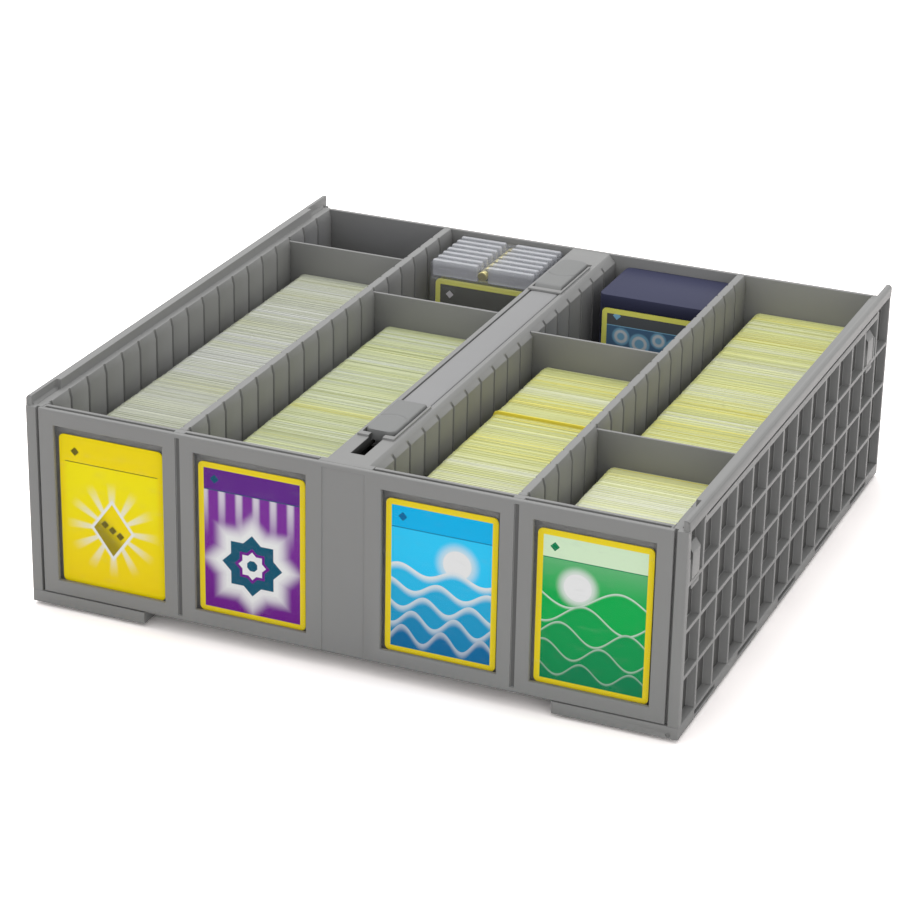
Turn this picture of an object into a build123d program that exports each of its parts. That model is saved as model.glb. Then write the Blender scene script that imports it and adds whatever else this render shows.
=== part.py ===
from build123d import *
import os

os.makedirs("parts", exist_ok=True)

# A four-lane storage bin for trading cards, open at the top, with its dividers, front
# labels, carrying strap and the cards and cases that stand in its lanes.
# Millimetres. +X is to the right seen from the front, +Y to the back, +Z up.
# The origin is at the middle of the footprint, at the bottom of the foot pads.

# Cards, sleeves and cases
card_width = 63.0
card_height = 88.0
sleeve_width = 76.2
sleeve_height = 101.6
sleeve_depth = 1.8
sleeve_wall = 0.5
sleeve_foot = 3.0
label_card_depth = 0.6

# Lanes and their walls
lane_clear = 77.3
lane_length = 356.0
wall_rise = 110.2
wall_core = 3.2
spine_core = 28.1
rib_proud = 2.0
shoulder_width = 1.4
shoulder_height = 5.0

# Divider grooves in every lane wall
groove_pitch = 19.55
groove_width = 2.2
first_groove = 4.0
last_groove_room = 15.0
divider_depth = 1.8
divider_side_gap = 0.3
divider_below_top = 2.3
divider_grooves_from_back = {"1": 2, "2": 5, "3": 6, "4": 12}

# Front panel, label slots and back panel
panel_depth = 2.6
slot_depth = 2.2
liner_depth = 2.2
slot_side_gap = 1.1
label_ledge = 5.0
window_width = 66.0
window_height = 92.4
window_sill = 8.7
window_bevel = 0.5
seam_groove_width = 2.6
seam_groove_depth = 1.0
seam_groove_drop = 2.3
spine_face_width = 24.4
spine_face_depth = 0.7
panel_seam = 1.65
panel_foot_gap = 0.8
fit_gap = 0.15

# Side walls with their outer crate of ribs
sheet_depth = 4.0
crate_depth = 4.85
back_crate_depth = 5.2
side_overrun = 6.0
side_tail_drop = 9.0
crate_rib = 2.4
crate_columns = 14
crate_rows = 4
crate_top_drop = 2.6
crate_top_rib = 3.7
back_crate_drop = 3.0
post_depth = 5.0
post_lap = 1.1

# Top rails
rail_rise = 5.8
rail_width = 6.3
rail_overhang = 0.3
rail_skin = 6.8
rail_round = 2.2
rail_end_length = 28.0
rail_end_setback = 2.8
rail_front_gap = 1.2
end_web_lap = 0.4
end_web_drop = 1.7
end_web_rise = 2.8
end_web_depth = 5.2

# Hooks in the outer cells of the top row
hook_width = 11.5
hook_inset = 8.5
hook_reach = 0.2
hook_height = 17.0
hook_slope = 4.0
hook_lift = 2.0
blade_width = 2.2
blade_inset = 3.8
blade_height = 13.0
hook_nub_height = 2.5

# Base
floor_thickness = 2.4
skirt_height = 7.0
skirt_thickness = 2.4
skirt_slot_length = 33.0
skirt_slot_height = 2.8
skirt_slot_lift = 2.0
skirt_slot_pitch = 71.6
skirt_slot_room = 20.0
foot_length = 69.5
foot_depth = 22.0
foot_pad_length = 19.5
foot_pad_depth = 8.0
foot_pad_height = 2.0
foot_pad_inset = 29.5
foot_pad_back = 3.0
foot_dimple_radius = 1.3
foot_dimple_depth = 1.0
foot_dimple_inset = 5.5
floor_rib_height = 1.2
floor_rib_width = 2.0
floor_rib_pitch = 60.0

# Tabs that hold the walls in the floor
tab_length = 24.0
tab_depth = 2.0
tab_width = 2.2
tab_inset = 24.2
tab_gap = 0.15

# Carrying strap in the top of the spine
spine_wall = 2.4
spine_plate = 3.0
spine_top_width = 24.0
strap_thickness = 2.8
strap_bed_depth = 3.0
strap_width = 17.2
strap_bed_gap = 0.7
strap_pad_rise = 3.1
strap_front = 45.0
strap_rear = 27.2
grip_length = 64.0
strap_split = 0.15
pad_end_round = 5.0
front_pad_length = 46.0
rear_pad_length = 48.2
slot_width = 8.0
front_slot_start = 18.0
rear_slot_end = 23.2
slot_under_strap = 14.0
stem_gap = 0.5
stem_length = 8.0
stem_setback = 2.5
head_width = 14.0
head_thickness = 2.1
head_gap = 0.3
rim_rise = 1.4
rim_width = 1.3
front_rim = 40.5
rear_rim = 79.9
rim_bar_depth = 4.0
rim_leg_length = 46.0

# What stands in the lanes
stack_gap = 0.3
tall_card_depth = 0.8
tall_card_rise = 1.6
tall_card_from_divider = 77.8
pack_width = 66.0
pack_height = 88.0
pack_length = 46.0
pack_from_back = 9.0

case_count = 7
case_width = 69.0
case_head = 12.5
case_depth = 7.2
case_pitch = 7.5
case_shift = 2.7
case_cavity_gap = 0.2
case_card_depth = 1.0
case_card_lift = 7.5
magnet_radius = 3.0
magnet_depth = 4.0
magnet_gap = 0.05

deck_width = 68.0
deck_depth = 51.0
deck_height = 104.0
deck_wall = 1.8
deck_shift = 3.8
deck_lid_height = 26.0
deck_lid_gap = 0.25
deck_round = 4.0
deck_card_depth = 0.6
deck_card_recess = 0.7
deck_card_gap = 0.4
deck_card_lift = 7.5

# Places along X
spine_face = spine_core / 2 + rib_proud
lane_pitch = lane_clear + 2 * rib_proud + wall_core
inner_lane_x = spine_face + lane_clear / 2
outer_lane_x = inner_lane_x + lane_pitch
lane_x = {"1": -outer_lane_x, "2": -inner_lane_x, "3": inner_lane_x, "4": outer_lane_x}
lane_wall_x = spine_face + lane_clear + rib_proud + wall_core / 2
side_face = outer_lane_x + lane_clear / 2
side_sheet_in = side_face + rib_proud
side_sheet_out = side_sheet_in + sheet_depth
crate_out = side_sheet_out + crate_depth
skirt_out = crate_out
post_in = side_sheet_out - post_lap
panel_half = post_in - panel_seam
rail_out = crate_out + rail_overhang
rail_in = rail_out - rail_width

# Places along Y
depth = panel_depth + slot_depth + liner_depth + lane_length + panel_depth + side_overrun
front = -depth / 2
back = depth / 2
panel_back = front + panel_depth
liner_front = panel_back + slot_depth
lane_front = liner_front + liner_depth
lane_back = lane_front + lane_length
back_sheet_out = lane_back + panel_depth
groove_count = 1 + int((lane_length - first_groove - last_groove_room) / groove_pitch)
groove_y = [lane_front + first_groove + k * groove_pitch for k in range(groove_count)]
divider_y = {lane: groove_y[-1 - k] for lane, k in divider_grooves_from_back.items()}
strap_middle = (front + strap_front + lane_back - strap_rear) / 2

# Places along Z
floor_top = foot_pad_height + skirt_height
floor_bottom = floor_top - floor_thickness
wall_top = floor_top + wall_rise
rail_top = wall_top + rail_rise
crate_top = wall_top - crate_top_drop
row_height = (crate_top - crate_top_rib / 2 - floor_top) / crate_rows
panel_bottom = floor_top + panel_foot_gap


def span_box(x, y, z, mode=Mode.ADD):
    """Add or cut a block between low and high values on each axis."""
    middle = ((x[0] + x[1]) / 2, (y[0] + y[1]) / 2, (z[0] + z[1]) / 2)
    with Locations(middle):
        Box(x[1] - x[0], y[1] - y[0], z[1] - z[0], mode=mode)


def section_at(y):
    """The upright plane across the bin at y, drawn in X and Z; extrude by minus to go back."""
    return Plane.XZ.offset(-y)


def finish(builder, node):
    """Label the finished piece and write its file."""
    builder.part.label = node
    export_step(builder.part, f"parts/{node}.step")


def ribbed_face(base_x, side):
    """Ribbed layer for divider grooves on a wall face at base_x; side is its outward sign."""
    face_x = base_x + side * rib_proud
    with BuildSketch(section_at(lane_front + fit_gap)) as layer:
        with BuildLine():
            Polyline(
                (base_x, floor_top),
                (face_x, floor_top),
                (face_x, wall_top - shoulder_height),
                (face_x - side * shoulder_width, wall_top),
                (base_x, wall_top),
                close=True,
            )
        make_face()
    extrude(layer.sketch, amount=-(lane_length - 2 * fit_gap))


def cut_grooves(base_x, side):
    """Cut the divider grooves down to the wall face at base_x."""
    middle_x = base_x + side * rib_proud / 2
    middle_z = (floor_top + wall_top) / 2
    with Locations([(middle_x, y, middle_z) for y in groove_y]):
        Box(rib_proud, groove_width, wall_rise, mode=Mode.SUBTRACT)


def slope_top_edge(top_x, face_x, side):
    """Slope the top edge of a wall down from top_x to its ribs' face at face_x."""
    with BuildSketch(section_at(lane_front + fit_gap)) as wedge:
        with BuildLine():
            Polyline(
                (side * top_x, wall_top),
                (side * face_x, wall_top - shoulder_height),
                (side * face_x, wall_top),
                close=True,
            )
        make_face()
    extrude(wedge.sketch, amount=-(lane_length - 2 * fit_gap), mode=Mode.SUBTRACT)


def floor_tab_places(x):
    """The middles of the floor tabs of a wall whose middle is at x."""
    middle_y = (lane_front + lane_back) / 2
    tab_step = (lane_length - tab_length) / 2 - tab_inset
    return [(x, middle_y + step * tab_step, floor_top) for step in (-1, 0, 1)]


def side_tab_places(sign):
    """The middles of the tabs under the outer wall on the given side."""
    x = sign * (side_sheet_in + side_sheet_out) / 2
    count = 1 + int((depth - skirt_slot_length - 2 * skirt_slot_room) / skirt_slot_pitch)
    return [(x, (k - (count - 1) / 2) * skirt_slot_pitch, floor_top) for k in range(count)]


# Base: floor plate, side skirts with slots, corner feet and foot pads
with BuildPart() as base:
    span_box((-skirt_out, skirt_out), (liner_front, back), (floor_bottom, floor_top))
    for sign in (-1, 1):
        skirt = sorted((sign * (skirt_out - skirt_thickness), sign * skirt_out))
        span_box(skirt, (front, back), (foot_pad_height, floor_top))
        foot = sorted((sign * (skirt_out - foot_length), sign * skirt_out))
        pad_x = sign * (skirt_out - foot_length + foot_pad_inset)
        for end, inward in ((front, 1), (back, -1)):
            foot_y = sorted((end, end + inward * foot_depth))
            span_box(foot, foot_y, (foot_pad_height, floor_top))
            pad_y = end + inward * (foot_pad_back + foot_pad_depth / 2)
            with Locations((pad_x, pad_y, foot_pad_height / 2)):
                Box(foot_pad_length, foot_pad_depth, foot_pad_height)
        slot_x = sign * (skirt_out - skirt_thickness / 2)
        slot_z = foot_pad_height + skirt_slot_lift + skirt_slot_height / 2
        with Locations([(slot_x, y, slot_z) for _, y, _ in side_tab_places(sign)]):
            Box(skirt_thickness, skirt_slot_length, skirt_slot_height, mode=Mode.SUBTRACT)
        with Locations(side_tab_places(sign)):
            Box(tab_width + 2 * tab_gap, tab_length + 2 * tab_gap, 2 * tab_depth, mode=Mode.SUBTRACT)
    for x in (-lane_wall_x, lane_wall_x):
        with Locations(floor_tab_places(x)):
            Box(tab_width + 2 * tab_gap, tab_length + 2 * tab_gap, 2 * tab_depth, mode=Mode.SUBTRACT)
    for x in (-1, 1):
        with Locations(floor_tab_places(x * (spine_core - spine_wall) / 2)):
            Box(tab_width + 2 * tab_gap, tab_length + 2 * tab_gap, 2 * tab_depth, mode=Mode.SUBTRACT)
    rib_middle_z = floor_bottom - floor_rib_height / 2
    rib_span = 2 * (skirt_out - foot_length)
    rib_steps = int((depth / 2 - foot_depth - floor_rib_width) / floor_rib_pitch)
    with Locations([(0, k * floor_rib_pitch, rib_middle_z) for k in range(-rib_steps, rib_steps + 1)]):
        Box(rib_span, floor_rib_width, floor_rib_height)
    dimple_z = foot_pad_height + skirt_slot_lift
    dimple_plane = section_at(front)
    with BuildSketch(dimple_plane) as dimple:
        with Locations((skirt_out - foot_dimple_inset, dimple_z)):
            Circle(foot_dimple_radius)
    extrude(dimple.sketch, amount=-foot_dimple_depth, mode=Mode.SUBTRACT)
finish(base, "base")


# Side walls: sheet, crate of ribs outside, divider ribs inside, top rail, hooks and floor tabs
with BuildPart() as side_wall:
    sheet_front = panel_back + fit_gap
    sheet_x = (side_sheet_in, side_sheet_out)
    span_box(sheet_x, (sheet_front, back), (floor_top, wall_top))
    tail_z = (wall_top - side_tail_drop, wall_top)
    span_box(sheet_x, (back_sheet_out, back), tail_z, Mode.SUBTRACT)
    ribbed_face(side_sheet_in, -1)
    cut_grooves(side_sheet_in, -1)
    span_box((post_in, crate_out), (front, front + post_depth), (floor_top, wall_top))
    crate_middle = (side_sheet_out + crate_out) / 2
    column = depth / crate_columns
    upright_height = crate_top - floor_top
    uprights = [front + k * column for k in range(1, crate_columns)] + [back - crate_rib / 2]
    with Locations([(crate_middle, y, floor_top + upright_height / 2) for y in uprights]):
        Box(crate_depth, crate_rib, upright_height)
    levels = [floor_top + k * row_height for k in range(1, crate_rows)]
    with Locations([(crate_middle, 0, z) for z in levels]):
        Box(crate_depth, depth, crate_rib)
    top_rib_middle = crate_top - crate_top_rib / 2
    with Locations((crate_middle, 0, top_rib_middle)):
        Box(crate_depth, depth - 2 * rail_end_length, crate_top_rib)
    rail_bottom = rail_top - rail_skin
    with BuildSketch(Plane.XY.offset(rail_bottom)) as rail:
        rail_start = front + rail_front_gap
        with BuildLine():
            Polyline(
                (rail_out, rail_start),
                (rail_in + rail_end_setback, rail_start),
                (rail_in + rail_end_setback, front + rail_end_length),
                (rail_in, front + rail_end_length),
                (rail_in, back - rail_end_length),
                (rail_in + rail_end_setback, back - rail_end_length),
                (rail_in + rail_end_setback, back),
                (rail_out, back),
                close=True,
            )
        make_face()
    extrude(rail.sketch, amount=rail_skin)
    rail_edges = side_wall.edges().filter_by(Axis.Y).filter_by_position(
        Axis.Z, rail_top - 0.01, rail_top + 0.01
    )
    fillet(rail_edges.sort_by(Axis.X)[-1], rail_round)
    web_in = side_sheet_out - end_web_lap
    web_out = rail_in + rail_end_setback + end_web_lap
    web_low = wall_top - end_web_depth
    for web_y in ((sheet_front, front + rail_end_length), (back - rail_end_length, back_sheet_out)):
        with BuildSketch(section_at(web_y[0])) as web:
            with BuildLine():
                Polyline(
                    (web_in, web_low),
                    (web_out, web_low),
                    (web_out, rail_bottom + end_web_rise),
                    (web_in, wall_top - end_web_drop),
                    close=True,
                )
            make_face()
        extrude(web.sketch, amount=-(web_y[1] - web_y[0]))
    end_uprights = (crate_top - crate_top_rib / 2, rail_bottom)
    for end, inward, hook_cell in ((front, 1, 0), (back, -1, 1)):
        cap = sorted((end, end + inward * crate_rib))
        span_box((side_sheet_out, crate_out), cap, end_uprights)
        stop = sorted((
            end + inward * (rail_end_length - crate_rib / 2),
            end + inward * (rail_end_length + crate_rib / 2),
        ))
        span_box((side_sheet_out, crate_out), stop, end_uprights)
        hook_base = floor_top + (crate_rows - 1) * row_height + crate_rib / 2
        hook_low = hook_base + hook_lift
        hook_edge = end + inward * hook_cell * column
        hook_start = hook_edge + inward * hook_inset
        with BuildSketch(section_at(hook_start)) as hook:
            with BuildLine():
                Polyline(
                    (side_sheet_out, hook_base),
                    (crate_out + hook_reach, hook_base),
                    (crate_out + hook_reach, hook_low + hook_height - hook_slope),
                    (side_sheet_out + crate_depth / 2, hook_low + hook_height),
                    (side_sheet_out, hook_low + hook_height),
                    close=True,
                )
            make_face()
        extrude(hook.sketch, amount=-inward * hook_width)
        blade_y = sorted((
            hook_edge + inward * blade_inset,
            hook_edge + inward * (blade_inset + blade_width),
        ))
        span_box((side_sheet_out, crate_out), blade_y, (hook_base, hook_base + blade_height))
        nub_y = sorted((hook_start, hook_start + inward * hook_width))
        nub_top = hook_base - crate_rib
        span_box((side_sheet_out, crate_out + hook_reach), nub_y, (nub_top - hook_nub_height, nub_top))
    with Locations(side_tab_places(1)):
        Box(tab_width, tab_length, 2 * (tab_depth - tab_gap))
finish(side_wall, "side_wall_right")

with BuildPart() as side_wall_left:
    mirror(side_wall.part, about=Plane.YZ)
finish(side_wall_left, "side_wall_left")


# Front panel: four windows, seam grooves over the lane walls and the spine's set-back face
with BuildPart() as front_panel:
    span_box((-panel_half, panel_half), (front, panel_back), (panel_bottom, wall_top))
    window_middle_z = floor_top + window_sill + window_height / 2
    with Locations([(x, (front + panel_back) / 2, window_middle_z) for x in lane_x.values()]):
        Box(window_width, panel_depth, window_height, mode=Mode.SUBTRACT)
    window_edges = front_panel.faces().sort_by(Axis.Y)[0].inner_wires().edges()
    chamfer(window_edges, window_bevel)
    top_edge = front_panel.edges().filter_by(Axis.X).group_by(Axis.Z)[-1].sort_by(Axis.Y)[0]
    chamfer(top_edge, window_bevel)
    groove_low = panel_bottom + seam_groove_drop
    groove_high = wall_top - seam_groove_drop
    for x in (-lane_wall_x, lane_wall_x):
        groove_x = (x - seam_groove_width / 2, x + seam_groove_width / 2)
        span_box(groove_x, (front, front + seam_groove_depth), (groove_low, groove_high), Mode.SUBTRACT)
    spine_face_x = (-spine_face_width / 2, spine_face_width / 2)
    spine_face_z = (panel_bottom, wall_top - seam_groove_drop)
    span_box(spine_face_x, (front, front + spine_face_depth), spine_face_z, Mode.SUBTRACT)
finish(front_panel, "front_panel")


# Front liners: the inner front wall of two lanes each, with the label slots in front of it
slot_half = sleeve_width / 2 + slot_side_gap
liner_in = inner_lane_x - slot_half
liner_out = side_sheet_in - fit_gap
with BuildPart() as front_liner:
    span_box((liner_in + fit_gap, liner_out), (liner_front, lane_front), (floor_top, wall_top))
    spacer_y = (panel_back + fit_gap, liner_front)
    between_slots = (inner_lane_x + slot_half, outer_lane_x - slot_half)
    span_box(between_slots, spacer_y, (floor_top + fit_gap, wall_top))
    span_box((outer_lane_x + slot_half, liner_out), spacer_y, (floor_top + fit_gap, wall_top))
    ledge_z = (floor_top + fit_gap, floor_top + label_ledge)
    span_box((liner_in + fit_gap, liner_out), spacer_y, ledge_z)
finish(front_liner, "front_liner_right")

with BuildPart() as front_liner_left:
    mirror(front_liner.part, about=Plane.YZ)
finish(front_liner_left, "front_liner_left")


# Back panel: sheet with a crate of ribs on its outside
back_half = side_sheet_in - fit_gap
with BuildPart() as back_panel:
    span_box((-back_half, back_half), (lane_back, back_sheet_out), (floor_top, wall_top))
    back_column = 2 * back_half / crate_columns
    back_crate_top = wall_top - back_crate_drop
    back_middle_y = back_sheet_out + back_crate_depth / 2
    back_upright = back_crate_top - floor_top
    edge_x = back_half - crate_rib / 2
    rib_x = [-back_half + k * back_column for k in range(1, crate_columns)]
    with Locations([(x, back_middle_y, floor_top + back_upright / 2) for x in (-edge_x, *rib_x, edge_x)]):
        Box(crate_rib, back_crate_depth, back_upright)
    back_levels = [*levels, back_crate_top - crate_rib / 2]
    with Locations([(0, back_middle_y, z) for z in back_levels]):
        Box(2 * back_half, back_crate_depth, crate_rib)
finish(back_panel, "back_panel")


# Lane walls between lanes 1 and 2 and between lanes 3 and 4
for x, node in ((-lane_wall_x, "lane_wall_left"), (lane_wall_x, "lane_wall_right")):
    with BuildPart() as lane_wall:
        core = (x - wall_core / 2, x + wall_core / 2)
        run = (lane_front + fit_gap, lane_back - fit_gap)
        span_box(core, run, (floor_top, wall_top))
        for sign in (-1, 1):
            ribbed_face(x + sign * wall_core / 2, sign)
        for sign in (-1, 1):
            cut_grooves(x + sign * wall_core / 2, sign)
        with Locations(floor_tab_places(x)):
            Box(tab_width, tab_length, 2 * (tab_depth - tab_gap))
    finish(lane_wall, node)


# Spine: hollow double wall with divider grooves outside and the strap bed in its top
spine_front = panel_back + fit_gap
strap_bottom = wall_top - strap_bed_depth
plate_bottom = strap_bottom - spine_plate
strap_half = strap_width / 2
bed_half = strap_half + strap_bed_gap
with BuildPart() as spine:
    core_half = spine_core / 2
    span_box((-core_half, core_half), (lane_front + fit_gap, lane_back - fit_gap), (floor_top, wall_top))
    for sign in (-1, 1):
        ribbed_face(sign * core_half, sign)
    for sign in (-1, 1):
        cut_grooves(sign * core_half, sign)
        slope_top_edge(spine_top_width / 2, core_half + rib_proud, sign)
    nose_half = liner_in - fit_gap
    span_box((-nose_half, nose_half), (spine_front, lane_front + fit_gap), (floor_top + fit_gap, wall_top))
    hollow_half = core_half - spine_wall
    hollow_y = (lane_front + spine_wall, lane_back - spine_wall)
    span_box((-hollow_half, hollow_half), hollow_y, (floor_top, plate_bottom), Mode.SUBTRACT)
    bed_z = (strap_bottom, wall_top)
    bed_y = (front + strap_front - strap_bed_gap, lane_back - rear_slot_end)
    span_box((-bed_half, bed_half), bed_y, bed_z, Mode.SUBTRACT)
    slot_x = (-slot_width / 2, slot_width / 2)
    front_slot_y = (front + front_slot_start, front + strap_front + slot_under_strap)
    rear_slot_y = (lane_back - strap_rear - slot_under_strap, lane_back - rear_slot_end)
    span_box(slot_x, front_slot_y, (plate_bottom, wall_top), Mode.SUBTRACT)
    span_box(slot_x, rear_slot_y, (plate_bottom, wall_top), Mode.SUBTRACT)
    rim_outside = bed_half + rim_width
    rim_z = (wall_top, wall_top + rim_rise)
    for bar_start in (front + front_rim, lane_back - rear_rim):
        bar_y = (bar_start, bar_start + rim_bar_depth)
        span_box((-rim_outside, rim_outside), bar_y, rim_z)
        for sign in (-1, 1):
            leg_x = sorted((sign * bed_half, sign * rim_outside))
            span_box(leg_x, (bar_y[1], bar_y[1] + rim_leg_length), rim_z)
    rim_gap_y = (front + front_rim, front + front_rim + rim_bar_depth)
    span_box(slot_x, rim_gap_y, rim_z, Mode.SUBTRACT)
    for sign in (-1, 1):
        with Locations(floor_tab_places(sign * (spine_core - spine_wall) / 2)):
            Box(tab_width, tab_length, 2 * (tab_depth - tab_gap))
finish(spine, "spine")


# Carrying strap: two anchored end stretches and the middle stretch that rises
strap_top = strap_bottom + strap_thickness
strap_z = (strap_bottom, strap_top)
pad_z = (strap_bottom, strap_top + strap_pad_rise)
grip_y = (strap_middle - grip_length / 2, strap_middle + grip_length / 2)
front_tip = front + strap_front
rear_tip = lane_back - strap_rear


def strap_anchor(tip_y, inward):
    """Stem and cross head under a strap end, held in the slot of the spine's top plate."""
    stem_y = sorted((
        tip_y + inward * stem_setback,
        tip_y + inward * (stem_setback + stem_length),
    ))
    stem_half = slot_width / 2 - stem_gap
    head_top = plate_bottom - head_gap
    span_box((-stem_half, stem_half), stem_y, (head_top - head_thickness, strap_bottom))
    span_box((-head_width / 2, head_width / 2), stem_y, (head_top - head_thickness, head_top))


with BuildPart() as strap_front_end:
    pad_y = (front_tip, front_tip + front_pad_length)
    span_box((-strap_half, strap_half), pad_y, pad_z)
    tip_edges = strap_front_end.edges().filter_by(Axis.Z).group_by(Axis.Y)[0]
    fillet(tip_edges, pad_end_round)
    span_box((-strap_half, strap_half), (pad_y[1], grip_y[0] - strap_split), strap_z)
    strap_anchor(front_tip, 1)
finish(strap_front_end, "strap_front_end")

with BuildPart() as strap_grip:
    span_box((-strap_half, strap_half), grip_y, strap_z)
finish(strap_grip, "strap_grip")

with BuildPart() as strap_rear_end:
    pad_y = (rear_tip - rear_pad_length, rear_tip)
    span_box((-strap_half, strap_half), pad_y, pad_z)
    tip_edges = strap_rear_end.edges().filter_by(Axis.Z).group_by(Axis.Y)[-1]
    fillet(tip_edges, pad_end_round)
    span_box((-strap_half, strap_half), (grip_y[1] + strap_split, pad_y[0]), strap_z)
    strap_anchor(rear_tip, -1)
finish(strap_rear_end, "strap_rear_end")


# Dividers, one in each lane, standing in a pair of grooves
divider_half = lane_clear / 2 + rib_proud - divider_side_gap
divider_top = wall_top - divider_below_top
for lane, y in divider_y.items():
    with BuildPart() as divider:
        divider_x = (lane_x[lane] - divider_half, lane_x[lane] + divider_half)
        span_box(divider_x, (y - divider_depth / 2, y + divider_depth / 2), (floor_top, divider_top))
    finish(divider, f"divider_{lane}")


# Labels: a card in a clear sleeve in each slot of the front
label_bottom = floor_top + label_ledge
label_y = panel_back + slot_depth / 2
cavity_half = (sleeve_depth - 2 * sleeve_wall) / 2
for lane, x in lane_x.items():
    with BuildPart() as label_sleeve:
        sleeve_x = (x - sleeve_width / 2, x + sleeve_width / 2)
        sleeve_y = (label_y - sleeve_depth / 2, label_y + sleeve_depth / 2)
        span_box(sleeve_x, sleeve_y, (label_bottom, label_bottom + sleeve_height))
        cavity_x = (x - card_width / 2 - sleeve_wall, x + card_width / 2 + sleeve_wall)
        cavity_z = (label_bottom + sleeve_foot, label_bottom + sleeve_height)
        span_box(cavity_x, (label_y - cavity_half, label_y + cavity_half), cavity_z, Mode.SUBTRACT)
    finish(label_sleeve, f"label_sleeve_{lane}")
    with BuildPart() as label_card:
        card_x = (x - card_width / 2, x + card_width / 2)
        card_y = (label_y - label_card_depth / 2, label_y + label_card_depth / 2)
        card_bottom = label_bottom + sleeve_foot
        span_box(card_x, card_y, (card_bottom, card_bottom + card_height))
    finish(label_card, f"label_card_{lane}")


# Card stacks: the rows of loose cards that fill the lanes in front of and behind the dividers
def divider_face(lane, side):
    """Y of a divider's front face (side -1) or back face (side 1), with the stack's gap."""
    return divider_y[lane] + side * (divider_depth / 2 + stack_gap)


stack_front = lane_front + stack_gap
stack_back = lane_back - stack_gap
tall_card_y = divider_y["3"] - tall_card_from_divider
stacks = {
    "cards_lane_1": ("1", stack_front, divider_face("1", -1)),
    "cards_lane_2": ("2", stack_front, divider_face("2", -1)),
    "cards_lane_3_front": ("3", stack_front, tall_card_y - stack_gap),
    "cards_lane_3_rear": ("3", tall_card_y + tall_card_depth + stack_gap, divider_face("3", -1)),
    "cards_lane_4_front": ("4", stack_front, divider_face("4", -1)),
    "cards_lane_4_rear": ("4", divider_face("4", 1), stack_back),
}
for node, (lane, low, high) in stacks.items():
    with BuildPart() as stack:
        stack_x = (lane_x[lane] - card_width / 2, lane_x[lane] + card_width / 2)
        span_box(stack_x, (low, high), (floor_top, floor_top + card_height))
    finish(stack, node)

with BuildPart() as tall_card:
    tall_x = (lane_x["3"] - card_width / 2, lane_x["3"] + card_width / 2)
    tall_top = floor_top + card_height + tall_card_rise
    span_box(tall_x, (tall_card_y, tall_card_y + tall_card_depth), (floor_top, tall_top))
finish(tall_card, "index_card_lane_3")

with BuildPart() as sleeved_pack:
    pack_x = (lane_x["1"] - pack_width / 2, lane_x["1"] + pack_width / 2)
    pack_y = (stack_back - pack_from_back - pack_length, stack_back - pack_from_back)
    span_box(pack_x, pack_y, (floor_top, floor_top + pack_height))
finish(sleeved_pack, "sleeved_pack_lane_1")


# Clear card cases with a round magnet, in a row at the back of lane 2
case_x = lane_x["2"] + case_shift
case_card_bottom = floor_top + case_card_lift
case_height = case_card_lift + card_height + case_head
magnet_z = floor_top + case_height - case_head / 2
for k in range(case_count):
    case_y = stack_back - case_depth / 2 - (case_count - 1 - k) * case_pitch
    case_cavity = case_card_depth / 2 + case_cavity_gap
    with BuildPart() as card_case:
        shell_x = (case_x - case_width / 2, case_x + case_width / 2)
        shell_y = (case_y - case_depth / 2, case_y + case_depth / 2)
        span_box(shell_x, shell_y, (floor_top, floor_top + case_height))
        pocket_half = card_width / 2 + case_cavity_gap
        pocket_x = (case_x - pocket_half, case_x + pocket_half)
        pocket_z = (case_card_bottom, case_card_bottom + card_height + case_cavity_gap)
        span_box(pocket_x, (case_y - case_cavity, case_y + case_cavity), pocket_z, Mode.SUBTRACT)
        with BuildSketch(section_at(case_y - magnet_depth / 2)) as magnet_seat:
            with Locations((case_x, magnet_z)):
                Circle(magnet_radius + magnet_gap)
        extrude(magnet_seat.sketch, amount=-magnet_depth, mode=Mode.SUBTRACT)
    finish(card_case, f"card_case_{k + 1}")
    with BuildPart() as case_magnet:
        with BuildSketch(section_at(case_y - magnet_depth / 2)) as magnet_face:
            with Locations((case_x, magnet_z)):
                Circle(magnet_radius)
        extrude(magnet_face.sketch, amount=-magnet_depth)
    finish(case_magnet, f"case_magnet_{k + 1}")
    with BuildPart() as case_card:
        inner_card_x = (case_x - card_width / 2, case_x + card_width / 2)
        inner_card_y = (case_y - case_card_depth / 2, case_y + case_card_depth / 2)
        span_box(inner_card_x, inner_card_y, (case_card_bottom, case_card_bottom + card_height))
    finish(case_card, f"case_card_{k + 1}")


# Deck box at the back of lane 3: box with a neck, lid over the neck, and a card on its front
deck_x = lane_x["3"] + deck_shift
deck_front = stack_back - deck_depth
deck_y = (deck_front, stack_back)
deck_outer_x = (deck_x - deck_width / 2, deck_x + deck_width / 2)
lid_bottom = floor_top + deck_height - deck_lid_height
lid_top = floor_top + deck_height
neck_inset = deck_wall + deck_lid_gap
inner_inset = neck_inset + deck_wall


def inset(span, amount):
    """Draw both ends of a span in by the same amount."""
    return (span[0] + amount, span[1] - amount)


with BuildPart() as deck_box:
    span_box(deck_outer_x, deck_y, (floor_top, lid_bottom))
    fillet(deck_box.edges().filter_by(Axis.Z), deck_round)
    neck_top = lid_top - deck_wall - deck_lid_gap
    span_box(inset(deck_outer_x, neck_inset), inset(deck_y, neck_inset), (lid_bottom, neck_top))
    inside_z = (floor_top + deck_wall, neck_top)
    span_box(inset(deck_outer_x, inner_inset), inset(deck_y, inner_inset), inside_z, Mode.SUBTRACT)
    recess_half = card_width / 2 + deck_card_gap
    recess_x = (deck_x - recess_half, deck_x + recess_half)
    recess_y = (deck_front, deck_front + deck_card_recess)
    recess_bottom = floor_top + deck_card_lift - deck_card_gap
    span_box(recess_x, recess_y, (recess_bottom, lid_bottom), Mode.SUBTRACT)
finish(deck_box, "deck_box")

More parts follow.
